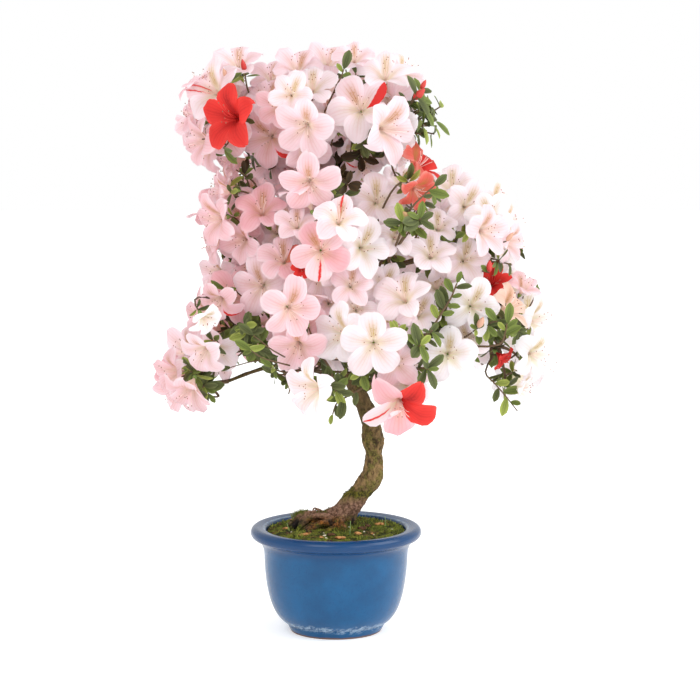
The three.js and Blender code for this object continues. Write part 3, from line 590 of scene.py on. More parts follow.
def bark_paint():
    """Bark: olive brown with darker cracks and pale ridges and moss green in patches, darker higher up
    as painted shade under the crown; reddish at the trunk's foot under a belt of moss, then dark
    roots with rust where they meet the trunk; painted shade darkens the hollow in the trunk and
    the cave under the left root."""
    paint = Paint("bark")
    place = paint.place()
    across, _, height = paint.split(place)
    long_way = paint.node("Mapping", inputs={"Vector": place, "Scale": (1.0, 1.0, 0.45)})
    crack = paint.noise(long_way, 300.0, 5.0, 0.65)
    patch = paint.noise(place, 70.0, 4.0)
    moss = paint.noise(place, 110.0, 5.0)
    fleck = paint.noise(place, 420.0, 3.0)
    stir = (patch - 0.5) * 0.02
    level = height + stir

    def grain(dark, light, low=0.4, high=0.6):
        """Two colours mixed in flecks."""
        return paint.mix(fleck.ease(low, high), srgb(*dark), srgb(*light))

    def hole(middle, ragged, low, high):
        """1 within a hollow and 0 away from it, with a ragged edge."""
        far = paint.node("VectorMath", {"operation": "DISTANCE"}, {0: place, 1: middle}, output=1)
        return 1 - (far + (fleck - 0.5) * ragged).ease(low, high)

    wood = paint.mix(crack.ease(0.34, 0.66), srgb(58, 44, 27), srgb(142, 116, 76))
    wood = paint.mix(patch.ease(0.45, 0.66) * 0.5, wood, srgb(126, 102, 70))
    wood = paint.mix(moss.ease(0.48, 0.6) * 0.7, wood, grain((64, 60, 24), (112, 106, 50)))
    # Painted shade: the bark darkens towards the crown.
    wood = paint.mix(level.ease(*PAINTED_CROWN_SHADE) * 0.55, wood, srgb(56, 46, 24))
    foot = 1 - level.ease(*RED_FOOT)
    wood = paint.mix(foot * 0.85, wood, grain((88, 62, 50), (152, 116, 98), 0.38, 0.65))
    belt = 1 - abs(level - BELT_HEIGHT * MM) / 0.007
    wood = paint.mix(belt.ease(0.1, 0.7) * 0.85, wood, grain((44, 44, 12), (96, 92, 26)))
    low = 1 - (height + stir * 0.6).ease(*ROOT_TOP)
    root = paint.mix(crack.ease(0.4, 0.62), srgb(24, 17, 12), srgb(96, 72, 52))
    root = paint.mix(patch.ease(0.56, 0.64) * 0.6, root, srgb(124, 102, 82))
    root = paint.mix(1 - patch.ease(0.38, 0.48), root, srgb(18, 12, 8))
    rust = (1 - abs(across + 0.008) / 0.025).ease(0.0, 0.55) * (patch * 0.5 + moss * 0.5).ease(0.4, 0.54)
    root = paint.mix(rust, root, grain((58, 37, 15), (148, 94, 40), 0.36, 0.64))
    skirt = (1 - level.ease(*MOSS_SKIRT)) * moss.ease(0.4, 0.52)
    root = paint.mix(skirt, root, grain((50, 54, 14), (104, 108, 34)))
    crest = level.ease(*MOSS_CREST) * moss.ease(0.48, 0.58)
    root = paint.mix(crest * 0.8, root, grain((60, 60, 20), (108, 106, 40)))
    wood = paint.mix(low, wood, root)
    # Painted shade: dark in the hollow in the trunk's front, darker still in the cave under the left root.
    wood = paint.mix(hole(HOLLOW, 0.003, 0.0012, 0.0048), wood, srgb(44, 32, 20))
    wood = paint.mix(hole(CAVE, 0.006, 0.003, 0.0085), wood, srgb(20, 14, 10))
    bump = paint.bump(crack + moss * 0.5 + fleck * 0.35, 0.8, 0.0018)
    return paint.surface({"Base Color": wood, "Roughness": 0.9, "Normal": bump,
                          "Specular IOR Level": 0.25})


def moss_paint(name, deep, fresh):
    """Moss: two greens mixed by noise of two sizes, with brown bare spots, all rough."""
    paint = Paint(name)
    place = paint.place()
    coarse = paint.noise(place, 90.0, 4.0)
    fine = paint.noise(place, 600.0, 3.0)
    green = paint.mix((coarse + (fine - 0.5) * 0.8).ease(0.35, 0.65), deep, fresh)
    bare = paint.noise(place, 75.0, 4.0).ease(0.53, 0.6)
    soil = paint.mix(fine.ease(0.4, 0.6), srgb(46, 30, 18), srgb(108, 76, 46))
    green = paint.mix(bare * 0.85, green, soil)
    bump = paint.bump(fine + coarse, 0.9, 0.002)
    return paint.surface({"Base Color": green, "Roughness": 0.95, "Normal": bump,
                          "Specular IOR Level": 0.2})


def plain_paint(name, colour, roughness):
    """One plain colour."""
    return Paint(name).surface({"Base Color": colour, "Roughness": roughness})


# Share of the light that falls on a petal that passes through it, and the red of its streaks.
PETAL_GLOW = 0.5
PETAL_RED = srgb(224, 58, 54)

# Colours of each tint's petals: throat, body, margin, veins and blotch.
TAN = (190, 134, 66)
OLIVE = (196, 168, 84)
PETAL_COLOURS = {
    "red": ((180, 40, 38), (228, 60, 54), (238, 80, 72), (200, 40, 40), (150, 26, 30)),
    "coral": ((240, 180, 150), (226, 104, 90), (238, 152, 140), (206, 78, 70), TAN),
    "rose": ((243, 210, 186), (241, 188, 195), (248, 217, 222), (228, 152, 162), TAN),
    "pink": ((244, 222, 200), (247, 212, 218), (251, 234, 239), (234, 172, 182), TAN),
    "blush": ((244, 230, 206), (250, 226, 232), (252, 241, 246), (240, 198, 206), TAN),
    "peach": ((248, 236, 212), (247, 214, 196), (250, 226, 214), (238, 186, 170), TAN),
    "pale": ((245, 236, 204), (252, 239, 244), (253, 247, 250), (242, 212, 218), OLIVE),
    "white": ((240, 234, 196), (252, 247, 251), (253, 251, 253), (246, 230, 232), OLIVE),
    "streaked": ((242, 226, 190), (250, 227, 232), (251, 238, 242), (240, 198, 206), TAN),
    "edged": ((242, 220, 186), (246, 208, 216), (250, 230, 237), (236, 180, 190), TAN),
    "striped": ((242, 226, 190), (250, 230, 235), (251, 238, 242), (240, 198, 206), TAN),
    "half": ((242, 226, 190), (249, 230, 236), (251, 240, 244), (240, 198, 206), TAN),
}

# Red streaks of a tint's petals, each (side, width, start).
STREAKS = {
    "streaked": [(-0.08, 0.09, 0.2)],
    "edged": [(0.75, 0.3, 0.25)],
    "striped": [(-0.3, 0.03, 0.04), (0.14, 0.03, 0.04)],
    "half": [(0.66, 0.78, 0.05)],
}


def petal_paint(tint):
    """A petal: throat colour at its foot, body colour, a paler margin and fine veins that fan out.
    The right half of the flat place is for the lobe that has the speckled blotch. Streaks are red
    stripes that run up the lobe and widen."""
    throat, body, edge, vein, blotch = (srgb(*colour) for colour in PETAL_COLOURS[tint])
    paint = Paint(f"petal_{tint}")
    across, along = paint.spread()
    marked = across.ease(0.499, 0.501)
    side = (across - marked * 0.5) * 4 - 1
    out = abs(side)
    colour = paint.mix((along + out * 0.16).ease(0.08, 0.46), throat, body)
    margin = (out ** 2.0 * 0.8 + along.ease(0.66, 1.0) * 0.7).ease(0.1, 0.95)
    colour = paint.mix(margin * 0.9, colour, edge)
    lines = (side * 22 / (0.35 + along)).sine().ease(0.3, 1.0)
    rib = 1 - (out * (0.6 + along)).ease(0.0, 0.09)
    colour = paint.mix((lines * 0.2 + rib * 0.4) * (1 - along.ease(0.6, 0.95)), colour, vein)
    flat = paint.node("CombineXYZ", inputs={0: side * 3.2, 1: along * 9, 2: 0.0})
    dots = paint.node("TexVoronoi", inputs={"Vector": flat, "Scale": 1.6})
    zone = (1 - out.ease(0.08, 0.62)) * along.ease(0.1, 0.26) * (1 - along.ease(0.36, 0.74))
    spots = zone * (0.55 + lines * 0.3 + (1 - dots.ease(0.2, 0.42)) * 0.25) * (0.3 + marked * 0.7)
    colour = paint.mix(spots, colour, blotch)
    for middle, width, start in STREAKS.get(tint, []):
        wave = paint.noise(flat, 1.1, 2.0)
        band = abs(side - middle + (wave - 0.5) * 0.14) - along * width
        red = (1 - band.ease(0.0, 0.08)) * along.ease(start, start + 0.15)
        colour = paint.mix(red, colour, PETAL_RED)
    return paint.surface({"Base Color": colour, "Roughness": 0.6, "Specular IOR Level": 0.25},
                         PETAL_GLOW)


def leaf_paint(name, deep, fresh):
    """A leaf: deep green with a paler midrib and side veins, fresher towards its margin."""
    paint = Paint(name)
    across, along = paint.spread()
    side = across * 2 - 1
    out = abs(side)
    colour = paint.mix((out * 0.5 + along * 0.3).ease(0.1, 0.75), deep, fresh)
    rib = 1 - out.ease(0.03, 0.11)
    veins = ((along * 7 - out * 1.4) * 6.2832).sine().ease(0.86, 1.0)
    colour = paint.mix(rib * 0.55 + veins * 0.22, colour, fresh)
    return paint.surface({"Base Color": colour, "Roughness": 0.46, "Specular IOR Level": 0.16})


def pot_outline():
    """Outline of the pot from the axis under it, up the outside, over the lip and down inside:
    straight runs, two cubic curves up the body and an arc round the lip."""
    def cubic(a, b, c, d, count):
        """A cubic curve from a to d that is drawn towards b and c."""
        t = np.linspace(0, 1, count)[:, None]
        a, b, c, d = (np.array(p, float) for p in (a, b, c, d))
        return a * (1 - t) ** 3 + 3 * b * t * (1 - t) ** 2 + 3 * c * t * t * (1 - t) + d * t ** 3

    lip_middle = LIP_RADIUS - LIP_ROLL
    lip_height = POT_HEIGHT - LIP_ROLL
    inside = NECK_RADIUS - WALL
    start = np.array([(0.0, 1.2), (FOOT_RADIUS - 6, 1.2), (FOOT_RADIUS - 4, 0.0), (FOOT_RADIUS - 1, 0.0)])
    foot = cubic((FOOT_RADIUS - 1, 0), (FOOT_RADIUS, 0), (FOOT_RADIUS + 0.4, 1), (FOOT_RADIUS + 1, 2), 6)
    ledge = cubic((FOOT_RADIUS + 1, 2), (FOOT_TOP_RADIUS - 0.5, 5), (FOOT_TOP_RADIUS, 6),
                  (FOOT_TOP_RADIUS, FOOT_HEIGHT), 8)
    step = cubic((FOOT_TOP_RADIUS, FOOT_HEIGHT), (FOOT_TOP_RADIUS, 8), (FOOT_TOP_RADIUS + 0.6, 8.6),
                 (FOOT_TOP_RADIUS + 2.6, 9.4), 6)
    body = cubic((FOOT_TOP_RADIUS + 2.6, 9.4), (64.5, 17), (NECK_RADIUS - 1, 42),
                 (NECK_RADIUS, NECK_HEIGHT), 40)
    neck = cubic((NECK_RADIUS, NECK_HEIGHT), (NECK_RADIUS + 0.5, 86), (75, 92),
                 (lip_middle + 3, lip_height - 5.2), 16)
    turn = np.linspace(-math.pi / 3, math.pi / 2, 22)[:, None]
    lip = np.hstack([lip_middle + LIP_ROLL * np.cos(turn), lip_height + LIP_ROLL * np.sin(turn)])
    inner = cubic((lip_middle, POT_HEIGHT), (MOUTH_RADIUS + 4, POT_HEIGHT - 0.6),
                  (MOUTH_RADIUS + 0.2, POT_HEIGHT - 1.4), (MOUTH_RADIUS, POT_HEIGHT - 4.5), 14)
    wall = cubic((MOUTH_RADIUS, 95), (inside, 83), (inside, 70), (inside, 60), 6)
    floor = cubic((inside, 60), (inside, 30), (60, 24), (44, FLOOR_HEIGHT), 6)
    end = np.array([(20.0, FLOOR_HEIGHT), (0.0, FLOOR_HEIGHT)])
    return np.vstack([start, foot[1:], ledge[1:], step[1:], body[1:], neck[1:], lip[1:], inner[1:],
                      wall, floor[1:], end])


def turned(outline, segments):
    """A surface of revolution: the outline's radius swung round the upright axis."""
    turn = np.arange(segments) * 2 * math.pi / segments
    out = outline[:, :1]
    height = np.broadcast_to(outline[:, 1:], (len(outline), segments))
    return np.stack([out * np.cos(turn), out * np.sin(turn), height], axis=-1)


def make_pot():
    """The glazed pot: its outline turned, a hair out of round and with a thrown ripple."""
    outline = pot_outline()
    points = turned(outline, POT_SEGMENTS)
    flat = points * (1 / 40.0)
    swell = 1 + 0.0035 * noise(flat, 3)[..., None]
    points[..., :2] *= swell
    faces = grid_faces(1, len(outline), POT_SEGMENTS, True)
    make_piece("pot_body", points, faces, glaze_paint(), ["pot"])


def moss_height(x, y):
    """Height of the moss: flat, falling to the wall, raised round the trunk, with lumps of three sizes."""
    out = np.hypot(x, y)
    fall = np.clip((out - MOSS_FLAT_RADIUS) / (MOUTH_RADIUS - 0.3 - MOSS_FLAT_RADIUS), 0, 1)
    flat = np.stack([x, y, np.zeros_like(x)], axis=-1)
    mound = 3.0 * np.exp(-((x - 4) ** 2 + (y - 4) ** 2) / 900.0)
    lumps = 1.6 * noise(flat / 14.0, 5) + 1.3 * noise(flat / 6.0, 6) + 0.7 * noise(flat / 2.6, 7)
    return MOSS_TOP - (MOSS_TOP - MOSS_EDGE) * fall ** 1.6 + mound + lumps * (1 - 0.5 * fall)


def make_moss():
    """Mossy soil: a round sheet of rings raised to the moss's height, closed down the wall."""
    rim = MOUTH_RADIUS - 0.4
    out = np.concatenate([np.linspace(0, rim, MOSS_RINGS), [rim, 0]])
    turn = np.arange(MOSS_SEGMENTS) * 2 * math.pi / MOSS_SEGMENTS
    x = out[:, None] * np.cos(turn)
    y = out[:, None] * np.sin(turn)
    height = moss_height(x, y)
    height[-2:] = MOSS_FLOOR
    faces = grid_faces(1, len(out), len(turn), True)[:, ::-1]
    paint = moss_paint("moss", srgb(38, 42, 13), srgb(104, 110, 34))
    make_piece("moss_bed", np.stack([x, y, height], axis=-1), faces, paint, ["soil"])


def make_blades():
    """Moss tips: narrow upright blades, thick in tufts and thin between them, in three greens."""
    rng = np.random.default_rng(SEEDS["moss_tips"])
    for index, (name, colour) in enumerate(MOSS_GREENS):
        count = MOSS_BLADES
        out = (MOUTH_RADIUS - 1.5) * np.sqrt(rng.random(count))
        turn = 2 * math.pi * rng.random(count)
        x, y = out * np.cos(turn), out * np.sin(turn)
        tuft = noise(np.stack([x, y, np.zeros(count)], axis=-1) / TUFT_SIZE, 61)
        tuft = tuft + 0.9 * (rng.random(count) - 0.5)
        kept = tuft > TUFT_LEVEL
        x, y, tuft = x[kept], y[kept], tuft[kept]
        count = len(x)
        foot = np.stack([x, y, moss_height(x, y) - 0.4], axis=-1)
        tall = (0.9 + 2.6 * rng.random(count) ** 2) * (0.6 + tuft)
        lean = np.stack([rng.normal(0, 0.4, count), rng.normal(0, 0.4, count), np.ones(count)], axis=-1)
        side_turn = 2 * math.pi * rng.random(count)
        side = np.stack([np.cos(side_turn), np.sin(side_turn), np.zeros(count)], axis=-1)
        tip = foot + unit(lean) * tall[:, None]
        points, faces = blades(foot, tip, 0.3 * side, 1 / 3)
        paint = plain_paint(f"moss_tip_{name}", srgb(*colour), 0.9)
        make_piece(f"moss_tips_{index + 1}", points, faces, paint, ["soil"])


def balls(middles, sizes, rows, columns, seed, rough):
    """Lumpy balls: rings of a sphere stretched by three sizes and pushed out by noise."""
    v = np.linspace(0, math.pi, rows)
    u = np.arange(columns) * 2 * math.pi / columns
    shell = np.stack([np.sin(v)[:, None] * np.cos(u), np.sin(v)[:, None] * np.sin(u),
                      np.broadcast_to(np.cos(v)[:, None], (rows, columns))], axis=-1)
    shell[(0, -1), :, :2] = 0
    lump = 1 + rough * noise(shell[None] * 1.3 + np.arange(len(middles))[:, None, None, None] * 7.3, seed)
    return middles[:, None, None] + shell[None] * sizes[:, None, None] * lump[..., None]


# Bark chips and grit that show on the moss: (right, back, length, width, turn).
CHIP_ROWS = {
    "chips_tan": [
        (-32, -40, 15, 6, 8), (5, -51, 11, 5, -10), (22, -41, 8, 6, 40), (44, 13, 10, 5, 20),
        (-14, -50, 5, 4, 60), (36, -22, 6, 3, 70), (-50, -10, 7, 4, 30), (-20, 44, 9, 5, 10),
        (18, 40, 8, 5, 80), (-44, 34, 6, 4, 0),
    ],
    "chips_brown": [
        (26, -12, 10, 6, 20), (32, -4, 7, 5, 70), (-26, -30, 8, 4, 150), (-4, -42, 9, 5, 40),
        (50, 26, 8, 5, 100), (8, 50, 9, 5, 50), (-38, 48, 7, 5, 10), (40, 40, 8, 4, 130),
        (-56, 10, 7, 4, 80), (-6, -58, 7, 4, 10),
    ],
    "grit_white": [
        (-11, -46, 3.5, 2.6, 0), (-12, -28, 2.4, 2, 0), (13, -10, 2.2, 2, 0), (28, -20, 2.6, 2.2, 0),
        (-9, -50, 3, 2.4, 30), (38, -26, 2, 1.6, 0), (-44, -24, 2, 1.8, 0), (56, -14, 2.2, 2, 0),
        (30, 34, 2.4, 2, 0), (-30, 46, 2.2, 2, 0),
    ],
}
CHIP_RINGS = 8
CHIP_SIDES = 12
CHIP_HEIGHT = 0.26
CHIP_COLOURS = {
    "chips_tan": (srgb(120, 72, 36), srgb(200, 146, 92)),
    "chips_brown": (srgb(40, 26, 16), srgb(96, 66, 42)),
    "grit_white": (srgb(176, 164, 136), srgb(222, 214, 194)),
}


def chip_paint(name, low, high):
    """A chip: two colours mixed by noise."""
    paint = Paint(name)
    place = paint.place()
    grain = paint.noise(place, 260.0, 4.0, 0.6)
    colour = paint.mix(grain.ease(0.36, 0.62), low, high)
    return paint.surface({"Base Color": colour, "Roughness": 0.85, "Specular IOR Level": 0.25})


def make_chips():
    """Bark chips and grit on the moss: flat lumpy stones, each turned its own way."""
    for name, rows in CHIP_ROWS.items():
        x, y, length, width, turn = np.array(rows, float).T
        middles = np.stack([x, y, moss_height(x, y) + CHIP_HEIGHT * width], axis=-1)
        sizes = np.stack([length / 2, width / 2, width * CHIP_HEIGHT], axis=-1)
        points = balls(np.zeros_like(middles), sizes, CHIP_RINGS, CHIP_SIDES, 31, 0.5)
        spin = np.radians(turn)[:, None, None]
        flat_x = points[..., 0] * np.cos(spin) - points[..., 1] * np.sin(spin)
        flat_y = points[..., 0] * np.sin(spin) + points[..., 1] * np.cos(spin)
        lean = 0.16 * flat_x * np.sin(turn * 5)[:, None, None]
        points = np.stack([flat_x, flat_y, points[..., 2] + lean], axis=-1) + middles[:, None, None]
        faces = grid_faces(len(rows), CHIP_RINGS, CHIP_SIDES, True)[:, ::-1]
        make_piece(name, points, faces, chip_paint(name, *CHIP_COLOURS[name]), ["soil"])


# Green stalks in the moss: (right, back, height, lean), and thin roots over the left root.
STALKS = [
    (14, -42, 15, 0.05), (50, 12, 11, -0.04), (-46, -18, 9, -0.3), (46, 20, 6, 0.2), (-34, 4, 8, -0.1),
]
STALK_RINGS = 6
STALK_SIDES = 6
ROOT_MOSS_BLADES = 360
ROOTLET_RINGS = 28
ROOTLET_SIDES = 10
ROOTLET_LUMPS = [(4.0, 0.35), (1.7, 0.15)]
ROOTLETS = [
    ([(2, -6, 112), (-10, -8, 109), (-22, -8, 108.5), (-33, -9, 104), (-40, -10, 101)],
     [3.2, 2.6, 2.4, 2.0, 1.2]),
    ([(-6, -4, 116), (-20, -4, 116.5), (-32, -4, 113), (-42, -5, 106), (-47, -6, 102)],
     [3.2, 3.0, 3.2, 2.8, 1.6]),
    ([(4, 12, 114), (-10, 15, 114), (-26, 16, 111), (-40, 15, 105), (-48, 14, 101)],
     [3.4, 3.0, 2.8, 2.4, 1.4]),
    ([(6, -10, 112), (-3, -17, 107), (-10, -24, 103.5), (-16, -29, 101)],
     [3.2, 2.4, 1.8, 1.0]),
    ([(-2, -5, 115), (-14, -9, 110), (-24, -13, 106), (-33, -17, 102), (-38, -19, 100)],
     [4.2, 3.4, 3.0, 2.4, 1.4]),
    ([(-22, -1, 117), (-30, -6, 113), (-36, -11, 107), (-39, -15, 102)],
     [3.4, 3.6, 3.0, 1.8]),
    ([(-26, 6, 117), (-35, 4, 115), (-43, 1, 110), (-50, -2, 103)],
     [2.4, 3.0, 2.6, 1.4]),
    ([(-16, 4, 116), (-18, 3, 122), (-22, 3, 123), (-23, 3, 119)],
     [0.9, 0.8, 0.8, 0.7]),
    ([(-11, 4, 116), (-14, 3, 120.5), (-19, 3, 122), (-23, 3, 118)],
     [0.9, 0.8, 0.8, 0.7]),
]


def make_rootlets(paint):
    """Thin roots that lie over the left root and run into the moss: lumpy closed tubes."""
    skins = []
    for line, radii in ROOTLETS:
        path, sizes = limb_path(line, radii, ROOTLET_RINGS)
        skins.append(lumpy_tube(path, sizes, ROOTLET_SIDES, ROOTLET_LUMPS, 57))
    points, faces = joined(skins)
    make_piece("rootlets", points, faces, paint, ["trunk"])


def make_stalks():
    """Green stalks: thin tubes that lean and taper."""
    right, back, tall, lean = np.array(STALKS, float).T
    foot = np.stack([right, back, moss_height(right, back) - 1], axis=-1)
    ahead = np.stack([lean, 0 * lean, np.ones(len(STALKS))], axis=-1)
    t = np.linspace(0, 1, STALK_RINGS)[None, :, None]
    paths = foot[:, None] + t * tall[:, None, None] * ahead[:, None]
    thick = np.broadcast_to(np.linspace(0.55, 0.3, STALK_RINGS), (len(STALKS), STALK_RINGS))
    green = plain_paint("stalk_green", srgb(126, 150, 84), 0.6)
    make_tubes("moss_stalks", paths, thick, STALK_SIDES, green, ["soil"])


def make_root_moss():
    """Moss that tufts on the left root's crest: blades on a small mound, thickest in its middle."""
    rng = np.random.default_rng(SEEDS["root_moss"])
    count = ROOT_MOSS_BLADES
    spot = np.stack([rng.normal(-36, 3.4, count), rng.normal(5, 3.2, count)], axis=-1)
    foot = np.column_stack([spot, 115.5 - 0.02 * (spot[:, 0] + 34) ** 2 - 0.05 * (spot[:, 1] - 5) ** 2])
    lean = np.column_stack([rng.normal(0, 0.5, (count, 2)), np.ones(count)])
    tip = foot + unit(lean) * (3.0 + 4.0 * rng.random(count))[:, None]
    turn = 2 * math.pi * rng.random(count)
    side = 0.45 * np.stack([np.cos(turn), np.sin(turn), np.zeros(count)], axis=-1)
    points, faces = blades(foot, tip, side, 0.3)
    paint = plain_paint("root_moss", srgb(112, 116, 46), 0.9)
    make_piece("root_moss", points, faces, paint, ["trunk"])


def bark_relief(points):
    """How far the bark stands out: lumps, grooves that run up the trunk and fine grain, weaker in
    the crown; gnarls and creases on the roots; two hollows and a knuckle as bell curves."""
    height = points[:, 2]
    ridge = np.abs(noise(points / np.array((4.2, 4.2, 17.0)), 41))
    relief = 1.3 * noise(points / 9.0, 42) - 1.2 * (0.35 - ridge) * (ridge < 0.35)
    relief += 0.45 * noise(points / 2.2, 43)
    relief *= np.clip((500.0 - height) / 200.0, 0.3, 1.0)
    crease = np.abs(noise(points / 6.0, 46))
    gnarl = 3.4 * noise(points / 9.0, 44) + 2.0 * noise(points / 3.8, 45)
    gnarl -= 3.4 * np.maximum(0.4 - crease, 0) / 0.4
    relief += gnarl * np.clip((122.0 - height) / 10.0, 0.0, 1.0)
    for middle, push, width in ((HOLLOW, -3.0, 14.0), (CAVE, -3.0, 40.0), (KNUCKLE, 2.0, 40.0)):
        far = np.sum((points - np.array(middle) / MM) ** 2, axis=1)
        relief += push * np.exp(-far / width)
    return relief


def make_trunk(paint):
    """Trunk and surface roots: closed tubes melted into one skin, then pushed along its normals
    by the bark's relief."""
    tracks = [(TRUNK_LINE, TRUNK_RADII, TRUNK_RINGS, TRUNK_SIDES)]
    tracks += [(line, radii, ROOT_RINGS, ROOT_SIDES) for line, radii in ROOTS]
    points, faces = joined([closed_tube(*limb_path(line, radii, rings), sides)
                            for line, radii, rings, sides in tracks])
    made = make_piece("trunk_bark", points, faces, paint, ["trunk"])
    melt = made.modifiers.new("melt", "REMESH")
    melt.mode = "VOXEL"
    melt.voxel_size = TRUNK_VOXEL * MM
    graph = bpy.context.evaluated_depsgraph_get()
    skin = bpy.data.meshes.new_from_object(made.evaluated_get(graph))
    made.modifiers.clear()
    made.data = skin
    count = len(skin.vertices)
    points = np.empty(count * 3, np.float32)
    normals = np.empty(count * 3, np.float32)
    skin.vertices.foreach_get("co", points)
    skin.vertex_normals.foreach_get("vector", normals)
    points = points.reshape(-1, 3).astype(float) / MM
    normals = normals.reshape(-1, 3).astype(float)
    points += normals * bark_relief(points)[:, None]
    skin.vertices.foreach_set("co", (points * MM).astype(np.float32).ravel())
    skin.polygons.foreach_set("use_smooth", np.ones(len(skin.polygons), bool))
    skin.update()
    skin.materials.clear()
    skin.materials.append(paint)
    make_trunk_moss(points, normals)


def make_trunk_moss(points, normals):
    """Moss on the roots and in a belt on the trunk: short blades that stand on the bark in tufts."""
    rng = np.random.default_rng(SEEDS["trunk_moss"])
    x, y, z = points.T
    tuft = noise(points / 6.0, 71) + 0.5 * (rng.random(len(points)) - 0.5)
    over = z - moss_height(x, y)
    skirt = (over > -1) & (over < 5) & (tuft > -0.05)
    crest = (z > 111) & (z < 122) & (x < -4) & (normals[:, 2] > 0.4) & (tuft > 0.28)
    belt = (np.abs(z - BELT_HEIGHT) < 6) & (tuft > 0.12) & (x < 28)
    for name, where, count, colour in (("olive", skirt | crest, 3600, srgb(76, 80, 24)),
                                       ("bright", skirt | crest, 1500, srgb(126, 130, 48)),
                                       ("belt", belt, 900, srgb(80, 80, 22))):
        pick = rng.choice(np.nonzero(where)[0], min(count, int(where.sum())), replace=False)
        ahead = unit(normals[pick] + np.array((0, 0, 0.5)) + rng.normal(0, 0.35, (len(pick), 3)))
        side = 0.3 * unit(np.cross(ahead, rng.normal(0, 1, (len(pick), 3))))
        foot = points[pick] - 0.3 * normals[pick]
        tip = foot + ahead * (0.8 + 1.6 * rng.random(len(pick)))[:, None]
        corners, faces = blades(foot, tip, side, 0.3)
        paint = plain_paint(f"trunk_moss_{name}", colour, 0.9)
        make_piece(f"trunk_moss_{name}", corners, faces, paint, ["trunk"])


def trunk_at(height):
    """Point of the trunk's middle line at a height."""
    path, _ = limb_path(TRUNK_LINE, TRUNK_RADII, 400)
    return np.array([np.interp(height, path[:, 2], path[:, k]) for k in range(3)])


class Mass:
    """A mass of foliage: its space, its bough, and the heart that its twigs leave from."""

    def __init__(self, index, name, at, half, leave, radius, show):
        self.index = index
        self.name = name
        self.at = np.array(at, float)
        self.half = np.array(half, float)
        self.leave = leave
        self.radius = radius
        self.show = show
        inward = unit(np.array((0.0, CROWN_DEPTH, at[2] - HEART_DROP)) - self.at)
        self.heart = self.at + inward * self.half * HEART_SHARE

    def reach(self, points):
        """How far points lie from the middle, 1 at the skin of the space."""
        return np.linalg.norm((points - self.at) / self.half, axis=-1)

    def bough(self):
        """Middle line and radii of the bough, arched a little above a straight line."""
        if self.leave == 0:
            return None
        start = trunk_at(self.leave)
        far = np.linalg.norm(self.heart - start)
        end = self.heart + (start - self.heart) * min(STEM_LENGTH / far, 0.5)
        arch = np.linalg.norm(end - start) * BOUGH_ARCH
        first = start + 0.35 * (end - start) + (0, 0, arch)
        second = start + 0.7 * (end - start) + (0, 0, 0.8 * arch)
        radii = [self.radius, 0.8 * self.radius, min(BOUGH_BEND_RADIUS, 0.7 * self.radius),
                 min(BOUGH_TIP_RADIUS, 0.6 * self.radius)]
        return limb_path([start, first, second, end], radii, BOUGH_RINGS)

    def spring(self, end):
        """The place just under the core's skin that a twig to a point springs from."""
        return self.heart + unit(end - self.heart) * self.half * CORE_SHARE * 0.6


class Bloom:
    """A blossom: the middle of its rim, the way it faces, its radius and first lobe's angle."""

    def __init__(self, mass, facing, first, tint, middle=None, radius=0.0):
        self.mass = mass
        self.facing = facing
        self.first = first
        self.tint = tint
        self.middle = middle
        self.radius = radius
        self.is_show = False
        self.funnel = NECK_DEPTH + SIDE_FUNNEL * (1 - abs(facing[1]))
        up = np.array((0.0, 1.0, 0.0)) if abs(facing[2]) > 0.95 else np.array((0.0, 0.0, 1.0))
        self.across = unit(np.cross(up, facing))
        self.upright = np.cross(facing, self.across)

    def place(self, angle, out, depth):
        """Points at an angle from upright, a share of the radius out and a share of it down."""
        turn = np.radians(angle)[..., None]
        ring = np.sin(turn) * self.across + np.cos(turn) * self.upright
        out, depth = np.asarray(out)[..., None], np.asarray(depth)[..., None]
        return self.middle + self.radius * (out * ring - depth * self.facing)

    def probes(self):
        """Points of the blossom that are tried against others: rim, halfway in, throat and neck."""
        petal = self.first + LOBE_ANGLE * np.arange(5)[:, None]
        angle = (petal + np.array((-LOBE_HALF_ANGLE, LOBE_HALF_ANGLE, 36.0))).ravel()
        rim = self.place(angle, np.tile((1, 1, NOTCH_SHARE), 5), np.tile((0, 0, NOTCH_DEPTH), 5))
        throat = self.middle - THROAT_DEPTH * self.radius * self.facing
        return np.vstack([rim, (rim + throat) / 2, throat, self.neck()])

    def neck(self):
        """Where the blossom joins its twig."""
        return self.middle - self.funnel * self.radius * self.facing

    def bend(self):
        """Where its twig turns into line with the blossom."""
        return self.neck() - BEND_LENGTH * self.facing

    def approach(self):
        """How straight its twig comes to it from behind: 1 in line, below 0 from the front."""
        root = self.mass.spring(self.bend())
        return float(np.dot(unit(self.bend() - root), self.facing))

    def is_crossed(self, points):
        """Whether points lie on both sides of the petals."""
        offset = points - self.middle
        height = offset @ self.facing
        out = np.sqrt(np.maximum(np.sum(offset ** 2, axis=1) - height ** 2, 0)) / self.radius
        above = height / self.radius + THROAT_DEPTH * (1 - out)
        inside = out < 1.05
        front = np.any(inside & (above > 0) & (height < self.radius))
        return bool(front and np.any(inside & (above <= 0)))


